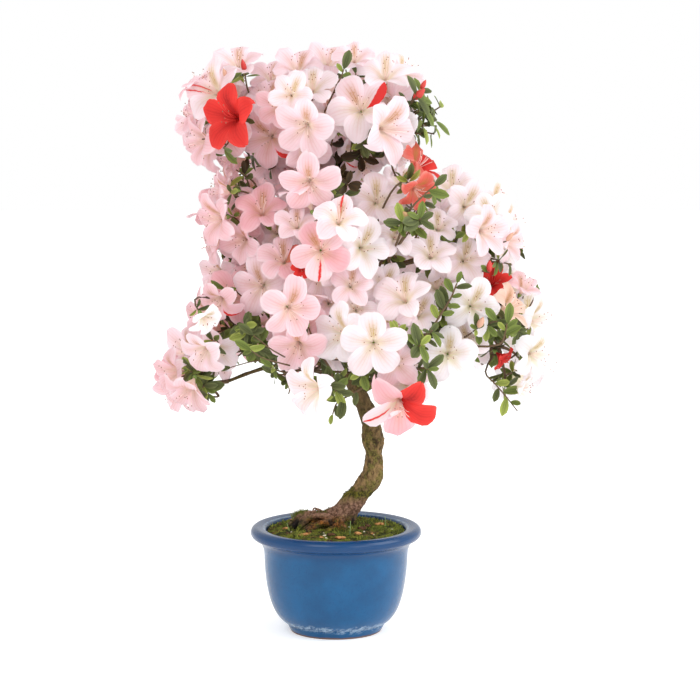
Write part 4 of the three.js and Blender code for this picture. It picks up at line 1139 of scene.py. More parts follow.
class ShowBloom(Bloom):
    """A blossom that is placed by where it is seen, and finds its depth."""

    def __init__(self, mass, right, up, diameter, turn, lift, first, tint, fore=0):
        super().__init__(mass, facing_from(turn, lift), first, tint)
        self.seen = np.array((right, 0.0, up))
        self.seen_radius = diameter / 2
        self.is_show = True
        front = self.front_depth()
        self.furthest = self.back_depth(front)
        self.set_depth(min(front, self.furthest) - fore)
        self.nearest = self.depth - MOST_FORWARD

    def set_depth(self, depth):
        """Moves it to a depth along its line of sight, with the size that it then has."""
        share = (depth - EYE[1]) / -EYE[1]
        self.depth = depth
        self.middle = EYE + (self.seen - EYE) * share
        self.radius = self.seen_radius * share

    def front_depth(self):
        """The depth nearest to the viewer at which it lies within its mass's space."""
        depths = np.arange(self.mass.at[1] + 10, self.mass.at[1] - self.mass.half[1], -1.0)
        shares = (depths - EYE[1]) / -EYE[1]
        over = self.mass.reach(EYE + (self.seen - EYE) * shares[:, None]) - SHOW_REACH
        over = np.maximum(over, 0)
        return depths[len(over) - 1 - np.argmin(over[::-1])]

    def back_depth(self, front):
        """The furthest depth at which its twig still comes to it from behind."""
        for depth in np.arange(front + MOST_BACK, front - 2 * MOST_BACK, -1.0):
            self.set_depth(depth)
            if self.approach() > 0.15:
                return depth
        return front


def cut(one, other):
    """Whether two blossoms cut into each other."""
    if np.linalg.norm(one.middle - other.middle) >= one.radius + other.radius + 8:
        return False
    return other.is_crossed(one.probes()) or one.is_crossed(other.probes())


def each(blooms, key):
    """One value of every blossom, as an array."""
    return np.array([getattr(bloom, key) for bloom in blooms])


def show_blooms(masses):
    """The show blossoms of all masses, moved along their lines of sight until none cuts another."""
    blooms = [ShowBloom(mass, *row) for mass in masses for row in mass.show]
    seen = each(blooms, "seen")
    reach = each(blooms, "seen_radius")
    apart = np.linalg.norm(seen[:, None] - seen[None], axis=-1)
    near = apart < reach[:, None] + reach[None] + 12
    for _ in range(SHOW_ROUNDS):
        moved = False
        for index, one in enumerate(blooms):
            others = [blooms[k] for k in range(index + 1, len(blooms)) if near[index, k]]
            for other in [other for other in others if cut(one, other)]:
                close, far = (one, other) if one.depth < other.depth else (other, one)
                far.set_depth(min(far.depth + STEP_BACK, far.furthest))
                close.set_depth(max(close.depth - STEP_FORWARD, close.nearest))
                moved = True
        if not moved:
            break
    return blooms


def spread(index, count, phase):
    """A direction of an even spread over the sphere."""
    z = 1 - (2 * index + 1) / count
    angle = index * EVEN_TURN + phase * 2 * math.pi
    level = math.sqrt(1 - z * z)
    return np.array((level * math.cos(angle), level * math.sin(angle), z))


def tint_for(place, draw):
    """The tint of a further blossom: pink on the left of the crown, white on the right."""
    chance = draw()
    if chance < 0.04 and place[1] > 100:
        return "red"
    if chance < 0.05:
        return "streaked"
    pinkness = 0.52 - place[0] / 270.0 + 0.5 * (draw() - 0.5)
    for tint, low in (("rose", 1.0), ("pink", 0.68), ("blush", 0.42), ("pale", 0.16)):
        if pinkness > low:
            return tint
    return "white"


# Open sky round and in the crown as it is seen from EYE: (right, up, radius).
SKY = [
    (-140, 571, 15), (-119, 579, 8), (-168, 526, 11), (-143, 460, 14), (-153, 436, 14), (-157, 411, 9),
    (-144, 375, 13), (-128, 371, 8), (-156, 349, 15), (-171, 325, 10), (-186, 295, 12), (-196, 267, 8),
    (-187, 229, 9), (-163, 201, 17), (-130, 208, 8), (-85, 247, 22), (-65, 231, 18), (-97, 225, 22),
    (-36, 199, 13), (9, 205, 9), (-26, 188, 8), (129, 259, 13), (126, 237, 24), (106, 231, 10),
    (104, 208, 16), (162, 464, 15), (180, 446, 14), (198, 420, 12), (200, 389, 8), (222, 357, 18),
    (230, 333, 14), (232, 303, 12), (235, 271, 14), (223, 241, 12), (98, 569, 15), (108, 552, 10),
    (114, 481, 14), (112, 511, 9), (14, 591, 10), (184, 208, 16), (54, 188, 12),
]


# Gaps between the blossoms where only leaves and twigs show: (right, up, radius), the deep ones first.
GAPS = [
    (12, 475, 15), (8, 452, 9), (-98, 454, 9), (-85, 463, 6), (80, 390, 7), (90, 428, 7), (14, 246, 15),
    (32, 238, 9), (-86, 298, 14), (-76, 278, 9), (164, 311, 12), (170, 293, 8), (88, 284, 10), (95, 298, 7),
    (90, 527, 12), (97, 512, 9),
]
DEEP_GAPS = 6
GAP_DEPTH = 30


# Places at the crown's edge where only petals show: (right, up, radius).
LEAFLESS = [
    (-188, 278, 16), (-190, 256, 14), (-174, 290, 14), (-142, 428, 17), (-140, 404, 15),
    (-138, 448, 12), (-180, 262, 14), (-168, 236, 14), (-140, 222, 14), (-130, 480, 12),
    (-30, 222, 22), (224, 298, 22), (206, 386, 12), (168, 440, 14), (220, 262, 12), (-150, 340, 16),
    (180, 405, 18), (214, 316, 14), (-152, 214, 14),
]


def seen_in(circles, points):
    """Which of the points are seen within any of the circles."""
    circles = np.array(circles, float)
    far = np.linalg.norm(sight(points)[:, None] - circles[None, :, :2], axis=-1)
    return np.any(far < circles[:, 2], axis=-1)


def in_sky(points):
    """Whether any of the points is seen in the open sky, or stands in front of a gap."""
    points = np.atleast_2d(points)
    front = points[:, 1] < GAP_DEPTH
    return bool(np.any(seen_in(SKY, points)) or np.any(front & seen_in(GAPS, points)))


def sight(points):
    """Where points are seen from EYE in the upright plane through the pot's middle."""
    share = -EYE[1] / (points[..., 1:2] - EYE[1])
    return (EYE + (points - EYE) * share)[..., (0, 2)]


def view_of(blooms):
    """Where blossoms are seen, their radii and their depths."""
    middles = each(blooms, "middle")
    return sight(middles), each(blooms, "radius"), middles[:, 1]


def further_blooms(mass, masses, placed):
    """More blossoms spread evenly over a mass's skin, drawn in until they lie within its space;
    one that is too near another, inside another mass or in front of a show blossom is skipped."""
    draw = seeded(BLOOM_SEED + mass.index * BLOOM_SEED_STEP)
    phase = draw()
    show_sight, show_radius, show_depth = view_of([bloom for bloom in placed if bloom.is_show])
    for i in range(BLOOM_TRIES):
        out = spread((i * BLOOM_STRIDE) % BLOOM_TRIES, BLOOM_TRIES, phase)
        radius = BLOOM_DIAMETER / 2 * (0.86 + 0.26 * draw())
        first = LOBE_ANGLE * draw()
        facing = unit(out + np.array((draw() - 0.5, draw() - 0.5, 0.7 * draw() - 0.1)))
        bloom = Bloom(mass, facing, first, "", mass.at + out * mass.half * 0.9, radius)
        tint = tint_for(bloom.middle, draw)
        for _ in range(6):
            reach = mass.reach(bloom.probes()).max()
            bloom.middle = mass.at + (bloom.middle - mass.at) * min(1 / reach, 1)
        if any(other is not mass and other.reach(bloom.middle) < OTHER_REACH for other in masses):
            continue
        if bloom.approach() <= 0 or in_sky(bloom.probes()):
            continue
        middles = each(placed, "middle")
        reaches = each(placed, "radius") + bloom.radius
        if np.any(np.linalg.norm(middles - bloom.middle, axis=1) < BLOOM_SPACING * reaches):
            continue
        seen = np.linalg.norm(show_sight - sight(bloom.middle), axis=1)
        hides = seen < HIDE_SHARE * show_radius + 0.5 * bloom.radius
        if np.any(hides & (bloom.middle[1] < show_depth + 6)):
            continue
        bloom.tint = tint
        placed.append(bloom)


# Red blossoms among pale ones: the steps by which they come out of their neighbours.
OUT_STEP = 2.0
OUT_STEPS = 12


def draw_out(bloom, blooms):
    """Moves a blossom the way it faces, step by step, until it cuts none of its neighbours."""
    for _ in range(OUT_STEPS):
        if not any(other is not bloom and cut(bloom, other) for other in blooms):
            break
        bloom.middle = bloom.middle + OUT_STEP * bloom.facing


# Petals: rows along a lobe, columns across it, and its half width as a share of the radius.
PETAL_ROWS = 9
PETAL_COLUMNS = 7
PETAL_HALF_WIDTH = 0.385
PETAL_FOOT = 0.04


def petal_points(blooms, lobes, rng):
    """Lobes of blossoms. Along v a lobe follows a cubic from the neck up the funnel and out to the
    rim; across u it spreads to about v^1.25 (1-v)^0.5 of its half width; its sides are cupped in the
    throat and turned back outside, one side lies over the next lobe, and its margin waves."""
    count = len(blooms)
    v = np.sin(np.linspace(0, 1, PETAL_ROWS) * math.pi / 2)
    v = np.minimum(v, 0.9985)[None, :, None]
    u = np.linspace(-1, 1, PETAL_COLUMNS)[None, None, :]

    def draw(low, high):
        """A number between two limits for every lobe."""
        return (low + (high - low) * rng.random(count))[:, None, None]

    reach = draw(0.93, 1.07)
    rim = draw(-0.16, 0.1)
    funnel = each(blooms, "funnel")[:, None, None]
    out = 0.03 * (1 - v) ** 3 + 3 * 0.21 * v * (1 - v) ** 2 + 3 * 0.44 * v * v * (1 - v) + reach * v ** 3
    deep = -funnel * (1 - v) ** 3 - 3 * 0.5 * funnel * v * (1 - v) ** 2
    deep = deep - 3 * 0.09 * v * v * (1 - v) + rim * v ** 3
    blunt = draw(0.38, 0.62)
    most = 1.25 / (1.25 + blunt)
    wide = v ** 1.25 * (1 - v) ** blunt / (most ** 1.25 * (1 - most) ** blunt)
    wide = PETAL_HALF_WIDTH * draw(0.88, 1.1) * wide + PETAL_FOOT * (1 - v)
    aside = u * wide + draw(-0.07, 0.07) * v ** 2
    cup = draw(0.06, 0.2) * (1 - 1.9 * v) * u ** 2
    back = -draw(0.2, 2.4) * np.maximum(v - 0.6, 0) ** 2
    lap = draw(0.02, 0.09) * u * np.minimum(v * 2, 1) ** 2
    wave = draw(0.02, 0.09) * np.sin(6.3 * (draw(1.0, 1.6) * v + draw(0, 1))) * u * np.abs(u) * v
    ripple = draw(0.01, 0.05) * np.sin(13 * v + 6.3 * draw(0, 1)) * u ** 2 * v
    groove = -0.035 * np.exp(-(u / 0.22) ** 2) * v
    rise = deep + cup + back + lap + wave + ripple + groove
    radius = each(blooms, "radius")[:, None, None, None]
    turn = np.radians([bloom.first + LOBE_ANGLE * lobe for bloom, lobe in zip(blooms, lobes)])[:, None]
    across = each(blooms, "across")
    upright = each(blooms, "upright")
    outward = np.sin(turn) * across + np.cos(turn) * upright
    sideways = np.cos(turn) * across - np.sin(turn) * upright
    facing = each(blooms, "facing")
    middle = each(blooms, "middle")
    local = out[..., None] * outward[:, None, None] + aside[..., None] * sideways[:, None, None]
    local = local + rise[..., None] * facing[:, None, None]
    return middle[:, None, None] + radius * local


def upper_lobe(bloom):
    """The lobe nearest to upright, which carries the blotch."""
    turns = np.radians(bloom.first + LOBE_ANGLE * np.arange(5))
    return int(np.argmax(np.cos(turns)))


def make_petals(blooms, mass_names):
    """All petals, joined by tint; the lobe with the blotch takes the right half of the flat place."""
    rng = np.random.default_rng(SEEDS["petals"])
    for tint in PETAL_COLOURS:
        owners, lobes, marks = [], [], []
        for bloom in blooms:
            upper = upper_lobe(bloom)
            for lobe, lobe_tint in enumerate(TINTS[bloom.tint]):
                if lobe_tint == tint:
                    owners.append(bloom)
                    lobes.append(lobe)
                    marks.append(0.5 if lobe == upper else 0.0)
        if not owners:
            continue
        points = petal_points(owners, lobes, rng)
        shift = np.stack([marks, np.zeros(len(marks))], axis=-1)[:, None, None]
        flat = flat_grid(PETAL_ROWS, PETAL_COLUMNS, 0.5)[None] + shift
        faces = grid_faces(len(owners), PETAL_ROWS, PETAL_COLUMNS, False)
        make_piece(f"petals_{tint}", points, faces, petal_paint(tint), mass_names, flat)


# Stamens: how many in a blossom, and how finely a thread is divided.
STAMENS = 6
THREAD_RINGS = 5
THREAD_SIDES = 3
ANTHER_RINGS = 4
ANTHER_SIDES = 5


def make_stamens(blooms, mass_names):
    """Stamens and pistils: threads that leave the throat, spread and curl up, with dark anthers."""
    rng = np.random.default_rng(SEEDS["stamens"])
    count = len(blooms) * (STAMENS + 1)
    owner = np.repeat(np.arange(len(blooms)), STAMENS + 1)
    order = np.tile(np.arange(STAMENS + 1), len(blooms))
    is_pistil = order == STAMENS

    radius = each(blooms, "radius")[owner][:, None]
    keys = ("middle", "facing", "across", "upright")
    middle, facing, across, upright = (each(blooms, key)[owner] for key in keys)
    turn = (order * 2.4 + rng.random(count) * 0.8)[:, None]
    ring = np.sin(turn) * across + np.cos(turn) * upright
    wide = (0.1 + 0.26 * rng.random(count))[:, None]
    far = (-0.15 + 0.3 * rng.random(count))[:, None] + 0.12 * is_pistil[:, None]
    start = middle - 0.7 * radius * facing + 0.03 * radius * ring
    bend = middle + radius * (-0.2 * facing + 0.3 * wide * ring - 0.06 * upright)
    end = middle + radius * (far * facing + wide * ring + 0.08 * upright)
    t = np.linspace(0, 1, THREAD_RINGS)[None, :, None]
    paths = bent_path(start[:, None], bend[:, None], end[:, None], t)
    thick = np.where(is_pistil, 0.36, 0.24)[:, None] * np.linspace(1.0, 0.8, THREAD_RINGS)[None]
    is_red = (each(blooms, "tint") == "red")[owner]
    for name, mine, colour in (("pale", ~is_red, srgb(250, 224, 216)), ("red", is_red, srgb(226, 70, 64))):
        paint = plain_paint(f"stamen_{name}", colour, 0.6)
        make_tubes(f"stamens_{name}", paths[mine], thick[mine], THREAD_SIDES, paint,
                   mass_names)
    sizes = np.where(is_pistil, 0.55, 0.62)[:, None] * np.ones(3)
    heads = balls(end, sizes, ANTHER_RINGS, ANTHER_SIDES, 3, 0.1)
    faces = grid_faces(count, ANTHER_RINGS, ANTHER_SIDES, True)[:, ::-1]
    dark = plain_paint("anther", srgb(150, 104, 84), 0.7)
    make_piece("anthers", heads, faces, dark, mass_names)


# Leaves: rows and columns of a blade, and the sizes of leaves in whorls.
LEAF_ROWS = 6
LEAF_COLUMNS = 5
LEAF_LENGTH = 19.0
LEAF_SHARE = 0.44
BLOOM_LEAVES = 5
SHOOT_LEAVES = 8

# Greens of the leaves, each deep and fresh, how the first three are dealt out, and the share of
# the leaves in deep gaps that take the last, a dark brown that is painted shade.
LEAF_GREENS = [
    ("leaf_dark", (58, 64, 34), (94, 102, 60)),
    ("leaf_green", (76, 88, 38), (112, 126, 60)),
    ("leaf_fresh", (104, 116, 46), (150, 160, 80)),
    ("leaf_shade", (40, 29, 13), (64, 48, 24)),
]
LEAF_DEAL = (0.46, 0.38, 0.16)
SHADE_SHARE = 0.8


def leaf_points(root, along, face, length, rng):
    """Leaf blades: along v a blade runs out from its root and droops with v squared; across u it
    spreads to v^0.8 (1-v)^0.55 of its half width, folded up along the midrib."""
    count = len(root)
    along = unit(along)
    side = unit(np.cross(along, face))
    face = np.cross(side, along)
    v = np.linspace(0, 0.995, LEAF_ROWS)[None, :, None]
    u = np.linspace(-1, 1, LEAF_COLUMNS)[None, None, :]
    wide = LEAF_SHARE * 0.5 * v ** 0.8 * (1 - v) ** 0.55 / (0.593 ** 0.8 * 0.407 ** 0.55) + 0.012
    fold = (0.16 + 0.3 * rng.random(count))[:, None, None]
    droop = (-0.1 + 0.5 * rng.random(count))[:, None, None]
    rise = fold * np.abs(u) * wide - droop * v ** 2 * 0.5
    scale = length[:, None, None, None]
    return root[:, None, None] + scale * (v[..., None] * along[:, None, None]
                                          + (u * wide)[..., None] * side[:, None, None]
                                          + rise[..., None] * face[:, None, None])


def whorls(ends, ahead, leaves, lean, rng):
    """Roots, directions and upper faces of leaves set in rings round twig ends."""
    count = len(ends)
    ref = np.where(np.abs(ahead[:, 2:]) > 0.9, np.array((1.0, 0.0, 0.0)), np.array((0.0, 0.0, 1.0)))
    side = unit(np.cross(ahead, ref))
    other = np.cross(ahead, side)
    turn = np.arange(leaves)[None] * EVEN_TURN + 6.3 * rng.random(count)[:, None]
    turn = turn + rng.normal(0, 0.25, (count, leaves))
    ring = np.cos(turn)[..., None] * side[:, None] + np.sin(turn)[..., None] * other[:, None]
    tilt = (lean + rng.normal(0, 0.22, (count, leaves)))[..., None]
    along = ring + tilt * ahead[:, None]
    back = rng.random((count, leaves))[..., None] * 5.0
    root = ends[:, None] - back * ahead[:, None] + 0.6 * ring
    face = np.broadcast_to(ahead[:, None], along.shape)
    return root.reshape(-1, 3), along.reshape(-1, 3), face.reshape(-1, 3)


def stem_leaves(path, leaves, rng):
    """Roots, directions and upper faces of leaves set left and right along a stem's outer part,
    the last one at its end, with their upper faces to the front."""
    spots = np.linspace(0.5, 1.0, leaves) * (len(path) - 1)
    root = np.stack([np.interp(spots, np.arange(len(path)), path[:, k]) for k in range(3)], axis=-1)
    ahead = unit(np.gradient(root, axis=0))
    front = np.array((0.0, -1.0, 0.25)) + rng.normal(0, 0.35, (leaves, 3))
    side = unit(np.cross(ahead, front)) * np.where(np.arange(leaves) % 2, 1.0, -1.0)[:, None]
    side[-1] = 0
    return root, side + ahead * (0.5 + 0.5 * rng.random(leaves))[:, None], front


def clear_of_petals(points, blooms):
    """Which leaves lie wholly on one side of every blossom's petals."""
    middles = each(blooms, "middle")
    facing = each(blooms, "facing")
    radii = each(blooms, "radius")
    tried = points[:, ::2, ::2].reshape(len(points), -1, 3)
    keep = np.ones(len(points), bool)
    for start in range(0, len(points), 200):
        part = tried[start:start + 200]
        offset = part[:, None] - middles[None, :, None]
        height = np.einsum("abcd,bd->abc", offset, facing)
        level = np.sqrt(np.maximum(np.sum(offset ** 2, axis=-1) - height ** 2, 0))
        out = level / radii[None, :, None]
        above = height / radii[None, :, None] + THROAT_DEPTH * np.maximum(1 - out, 0) ** 1.5
        inside = (out < 1.0) & (np.abs(above) < 0.8)
        crossed = np.any(inside & (above > -0.04), axis=-1) & np.any(inside & (above <= 0.04), axis=-1)
        keep[start:start + 200] = ~np.any(crossed, axis=-1)
    return keep


def make_leaves(blooms, shoots, sprays, stems, mass_names):
    """Leaves in whorls behind blossoms and at the ends of shoots and sprays, and along stems, dealt
    out in three greens, with a fourth, dark brown one that paints the shade of the deep gaps."""
    rng = np.random.default_rng(SEEDS["leaves"])
    ends = np.array([bloom.bend() for bloom in blooms])
    ahead = each(blooms, "facing")
    sets = [whorls(ends, ahead, BLOOM_LEAVES, 0.05, rng)]
    shoot_ends = np.array([end for _, end in shoots])
    shoot_ahead = unit(np.array([end - root for root, end in shoots]))
    sets.append(whorls(shoot_ends, shoot_ahead, SHOOT_LEAVES, 0.55, rng))
    sizes = [np.full(len(group[0]), LEAF_LENGTH) * 0.9 for group in sets]
    for _, root, end, leaves, length in sprays:
        sets.append(whorls(end[None], unit(end - root)[None], leaves, 0.3, rng))
        sizes.append(np.full(leaves, length * 1.1))
    for path, (_, _, _, _, leaves) in zip(stems, STEMS):
        sets.append(stem_leaves(path, leaves, rng))
        sizes.append(np.full(leaves, STEM_LEAF))
    root, along, face = (np.concatenate(parts) for parts in zip(*sets))
    length = np.concatenate(sizes) * (0.52 + 0.58 * rng.random(len(root)))
    points = leaf_points(root, along, face, length, rng)
    kind = rng.choice(len(LEAF_DEAL), len(root), p=LEAF_DEAL)
    # Leaves seen in the deep gaps mostly take the last colour, which is painted shade.
    in_shade = seen_in(GAPS[:DEEP_GAPS], root) & (rng.random(len(root)) < SHADE_SHARE)
    kind[in_shade] = len(LEAF_DEAL)
    keep = clear_of_petals(points, blooms) & ~seen_in(SKY + LEAFLESS, points[:, -1, 0])
    flat = np.repeat(flat_grid(LEAF_ROWS, LEAF_COLUMNS, 1.0)[None], len(root), axis=0)
    for index, (name, deep, fresh) in enumerate(LEAF_GREENS):
        paint = leaf_paint(name, srgb(*deep), srgb(*fresh))
        mine = (kind == index) & keep
        faces = grid_faces(int(mine.sum()), LEAF_ROWS, LEAF_COLUMNS, False)
        make_piece(f"leaves_{index + 1}", points[mine], faces, paint, mass_names, flat[mine])


# Leafy shoots: how many tries and shoots a mass has.
SHOOT_TRIES = 60
SHOOT_STRIDE = 23
SHOOTS = 7
SHOOT_REACH = 0.66


def grow_shoots(mass, masses, blooms):
    """Leafy shoots between the blossoms of a mass, spread evenly over its skin."""
    draw = seeded(SHOOT_SEED + mass.index * SHOOT_SEED_STEP)
    phase = draw()
    middles = each(blooms, "middle")
    radii = each(blooms, "radius")
    show_sight, show_radius, show_depth = view_of([bloom for bloom in blooms if bloom.is_show])
    shoots = []
    for i in range(SHOOT_TRIES):
        out = spread((i * SHOOT_STRIDE) % SHOOT_TRIES, SHOOT_TRIES, phase)
        end = mass.at + out * mass.half * SHOOT_REACH
        inside = any(other is not mass and other.reach(end) < OTHER_REACH for other in masses)
        near = np.any(np.linalg.norm(middles - end, axis=1) < 0.62 * radii)
        seen = np.linalg.norm(show_sight - sight(end), axis=1)
        hides = np.any((seen < 0.95 * show_radius + 8) & (end[1] < show_depth + 12))
        sky = seen_in(SKY + LEAFLESS, end[None])[0]
        if not inside and not near and not hides and len(shoots) < SHOOTS and not sky:
            shoots.append((mass.spring(end), end))
    return shoots


# Twigs: rings and sides of a twig, and how many branches a heart has.
TWIG_RINGS = 8
TWIG_SIDES = 5
BRANCHES = 7


def make_twigs(masses, blooms, shoots, sprays, paint, mass_names):
    """Twigs: a stem from each bough to its heart, branches from the heart to even spread nodes,
    and from the nearest node a bent twig to every blossom and shoot."""
    paths, radii = [], []
    t = np.linspace(0, 1, TWIG_RINGS)[:, None]

    def bent(start, bend, end, thick, thin):
        """Adds a bent twig that tapers."""
        paths.append(bent_path(start, bend, end, t))
        radii.append(np.linspace(thick, thin, TWIG_RINGS))

    for mass in masses:
        bough = mass.bough()
        tip = bough[0][-1] if bough else trunk_at(TRUNK_TIP)
        bent(tip - 2 * unit(mass.heart - tip), (tip + mass.heart) / 2, mass.heart, 2.3, 1.9)
        nodes = np.array([mass.heart + 0.42 * spread(k, BRANCHES, 0.37 * mass.index) * mass.half
                          for k in range(BRANCHES)])
        for node in nodes:
            bent(mass.heart, (mass.heart + node) / 2 + (0, 0, 3), node, 1.9, 1.25)
        for bloom in [bloom for bloom in blooms if bloom.mass is mass]:
            node = nodes[np.argmin(np.linalg.norm(nodes - bloom.bend(), axis=1))]
            far = np.linalg.norm(bloom.neck() - node)
            bent(node, bloom.neck() - 0.45 * far * bloom.facing, bloom.neck(), 1.2, 0.8)
        for root, end in shoots[mass.index]:
            node = nodes[np.argmin(np.linalg.norm(nodes - end, axis=1))]
            bent(node, (node + end) / 2 + (0, 0, -4), end, 1.1, 0.6)
        for _, root, end, _, _ in [spray for spray in sprays if spray[0] is mass]:
            node = nodes[np.argmin(np.linalg.norm(nodes - root, axis=1))]
            bent(node, root, end, 1.2, 0.7)
    make_tubes("twigs", paths, radii, TWIG_SIDES, paint, mass_names)


# Calyxes: how far below the neck they start, their length, and their radii on the way up.
CALYX_FOOT = 4.0
CALYX_LENGTH = 4.6
CALYX_RADII = (0.8, 1.5, 2.0, 2.2, 1.9)
CALYX_SIDES = 7


def make_calyxes(blooms, mass_names):
    """Green cups that hold the foot of each blossom: short tubes that widen towards the petals."""
    foot = np.array([bloom.neck() - CALYX_FOOT * bloom.facing for bloom in blooms])
    facing = each(blooms, "facing")
    t = np.linspace(0, 1, len(CALYX_RADII))[None, :, None]
    paths = foot[:, None] + t * CALYX_LENGTH * facing[:, None]
    wide = np.broadcast_to(np.array(CALYX_RADII), (len(blooms), len(CALYX_RADII)))
    green = plain_paint("calyx", srgb(112, 134, 62), 0.6)
    make_tubes("calyxes", paths, wide, CALYX_SIDES, green, mass_names)


def make_boughs(masses, paint):
    """Boughs: tapering tubes with a lumpy skin from inside the trunk to the masses."""
    for mass in masses:
        bough = mass.bough()
        if bough is None:
            continue
        points, faces = joined([lumpy_tube(*bough, BOUGH_SIDES, BOUGH_LUMPS, 51)])
        make_piece(f"bark_{mass.name}", points, faces, paint, [f"bough_{mass.name}"])


# Leafy sprays that show between the blossoms: (right, up) as they are seen from EYE, the way
# they point as turn to the right and lift, number of leaves, their length, and the clear
# space that they keep round them.
SPRAYS = [
    (10, 560, 10, 70, 4, 20, 6), (20, 556, 70, 20, 3, 17, 7), (88, 524, 60, 45, 5, 19, 16),
    (98, 510, 80, 20, 4, 18, 14), (80, 534, 40, 50, 3, 18, 10), (90, 505, 70, -10, 3, 17, 12),
    (103, 524, 80, 50, 4, 15, 6), (97, 497, 70, -30, 4, 14, 8), (84, 497, 60, -20, 3, 15, 12),
    (-131, 492, -80, 10, 3, 17, 5), (-110, 483, -40, -40, 6, 17, 9), (-66, 462, -10, -10, 8, 17, 13),
    (-84, 468, -30, 10, 6, 15, 9), (-104, 440, -70, 5, 3, 16, 6), (14, 470, 10, -20, 8, 16, 14),
    (28, 488, 20, 10, 7, 16, 11), (12, 448, -10, -40, 6, 15, 8), (94, 442, 60, 10, 6, 15, 7),
    (84, 414, 20, 20, 6, 21, 14), (66, 410, -30, 10, 5, 16, 8), (118, 394, 20, -30, 5, 13, 7),
    (174, 368, 60, -20, 6, 15, 9), (168, 322, 30, 30, 7, 16, 13), (182, 302, 60, -30, 7, 15, 12),
    (160, 312, -20, -20, 6, 15, 9), (118, 334, 20, 60, 5, 18, 8), (104, 324, -30, 40, 4, 18, 7),
    (84, 288, 10, 20, 5, 19, 12), (92, 264, 30, -20, 5, 18, 11), (0, 242, -20, -20, 6, 17, 9),
    (26, 260, 20, 0, 6, 17, 9), (-88, 300, -20, -20, 8, 17, 11), (-80, 286, 10, -60, 7, 20, 9),
    (-93, 308, -40, 10, 6, 17, 8), (-144, 262, -30, 10, 6, 16, 9), (-132, 246, 0, -30, 6, 18, 8),
    (96, 303, 30, 50, 4, 17, 9), (4, 478, -10, 10, 8, 17, 10), (20, 462, 10, -10, 8, 17, 10),
    (10, 488, 0, 20, 7, 16, 9), (25, 476, 20, 0, 8, 17, 10), (16, 455, 0, -40, 8, 16, 9),
    (30, 500, 10, 10, 6, 15, 7), (-78, 465, -20, 0, 8, 17, 10), (-70, 453, -10, -20, 7, 16, 8),
    (-90, 457, -40, 10, 7, 16, 8), (170, 312, 20, -10, 8, 16, 9),
]
SPRAY_TWIG = 20.0
SPRAY_REACH = 0.86
SPRAY_STEP = 13.0

# Blossoms that fill the front: step of the places that are looked at, the share of a bloom's
# radius that covers the view, and how near two of them may stand.
FILL_STEP = 8.0
FILL_COVER = 0.66
FILL_SPACING = 0.4
FILL_REACH = 0.84
FILL_SKIN = 1.02


def sight_line(mass, right, up, reach):
    """Depth at which the line of sight through a place enters a mass's space, or None."""
    start = (EYE - mass.at) / mass.half
    ahead = (np.array((right, 0.0, up)) - EYE) / mass.half
    a, b, c = ahead @ ahead, 2 * start @ ahead, start @ start - reach ** 2
    inner = b * b - 4 * a * c
    if inner < 0:
        return None
    return EYE[1] * (1 - (-b - math.sqrt(inner)) / (2 * a))


def front_mass(masses, right, up, reach):
    """The mass that is met first along a line of sight, and the depth there."""
    met = [(sight_line(mass, right, up, reach), mass) for mass in masses]
    met = [(depth, mass) for depth, mass in met if depth is not None]
    return min(met, key=lambda pair: pair[0]) if met else (None, None)


def nearest_mass(masses, right, up, reach):
    """The mass that a line of sight meets first, or else the one nearest to it, and the depth there."""
    depth, mass = front_mass(masses, right, up, reach)
    if mass is None:
        mass = min(masses, key=lambda other: other.reach(along_sight(right, up, other.at[1])))
        depth = mass.at[1]
    return depth, mass


def along_sight(right, up, depth):
    """Point on the line of sight through a place at a depth."""
    return EYE + (np.array((right, 0.0, up)) - EYE) * (depth - EYE[1]) / -EYE[1]


def fill_front(masses, blooms):
    """Blossoms in the places of the front that no other covers, set just behind those round them."""
    draw = seeded(FILL_SEED)
    rights = np.arange(-190.0, 236.0, FILL_STEP)
    ups = np.arange(190.0, 590.0, FILL_STEP)
    places = [(x + FILL_STEP * (k % 2) / 2, z) for k, z in enumerate(ups) for x in rights]
    order = [(i * 1013) % len(places) for i in range(len(places))]
    sprays = np.array([row[:2] for row in SPRAYS], float)
    clear = np.array([row[6] for row in SPRAYS], float)
    seen = [sight(bloom.middle) for bloom in blooms]
    for right, up in (places[i] for i in order):
        right += FILL_STEP * (draw() - 0.5)
        up += FILL_STEP * (draw() - 0.5)
        depth, mass = front_mass(masses, right, up, FILL_REACH)
        here = np.array((right, up))
        if mass is None or np.any(np.linalg.norm(sprays - here, axis=1) < clear):
            continue
        offset = here - np.array(seen)
        facing = each(blooms, "facing")
        radii = each(blooms, "radius")
        lean = unit(facing[:, (0, 2)])
        flat = np.maximum(np.abs(facing[:, 1]), 0.35)
        along = np.sum(offset * lean, axis=1)
        square = np.sum(offset ** 2, axis=1) - along ** 2 + (along / flat) ** 2
        depths = np.array([bloom.middle[1] for bloom in blooms])
        if np.any((square < (FILL_COVER * radii) ** 2) & (depths < depth + 60)):
            continue
        normal = unit((along_sight(right, up, depth) - mass.at) / mass.half ** 2)
        aim = normal + np.array((0.9 * (draw() - 0.5), -0.8, 0.1 + 0.8 * (draw() - 0.5)))
        radius = BLOOM_DIAMETER / 2 * (0.8 + 0.26 * draw())
        first = LOBE_ANGLE * draw()
        tint = tint_for(np.array((right, 0.0, up)), draw)
        middles = each(blooms, "middle")
        for back in (2, 10, 18, 26, 34):
            bloom = Bloom(mass, unit(aim), first, tint, along_sight(right, up, depth + back), radius)
            far = np.linalg.norm(middles - bloom.middle, axis=1) / (radii + radius)
            if bloom.approach() <= 0 or far.min() < FILL_SPACING or in_sky(bloom.probes()):
                continue
            if np.min([other.reach(bloom.probes()) for other in masses], axis=0).max() > FILL_SKIN:
                continue
            near = [blooms[k] for k in np.nonzero(far < 0.85)[0] if blooms[k].is_show]
            if any(cut(bloom, other) for other in near):
                continue
            blooms.append(bloom)
            seen.append(sight(bloom.middle))
            break


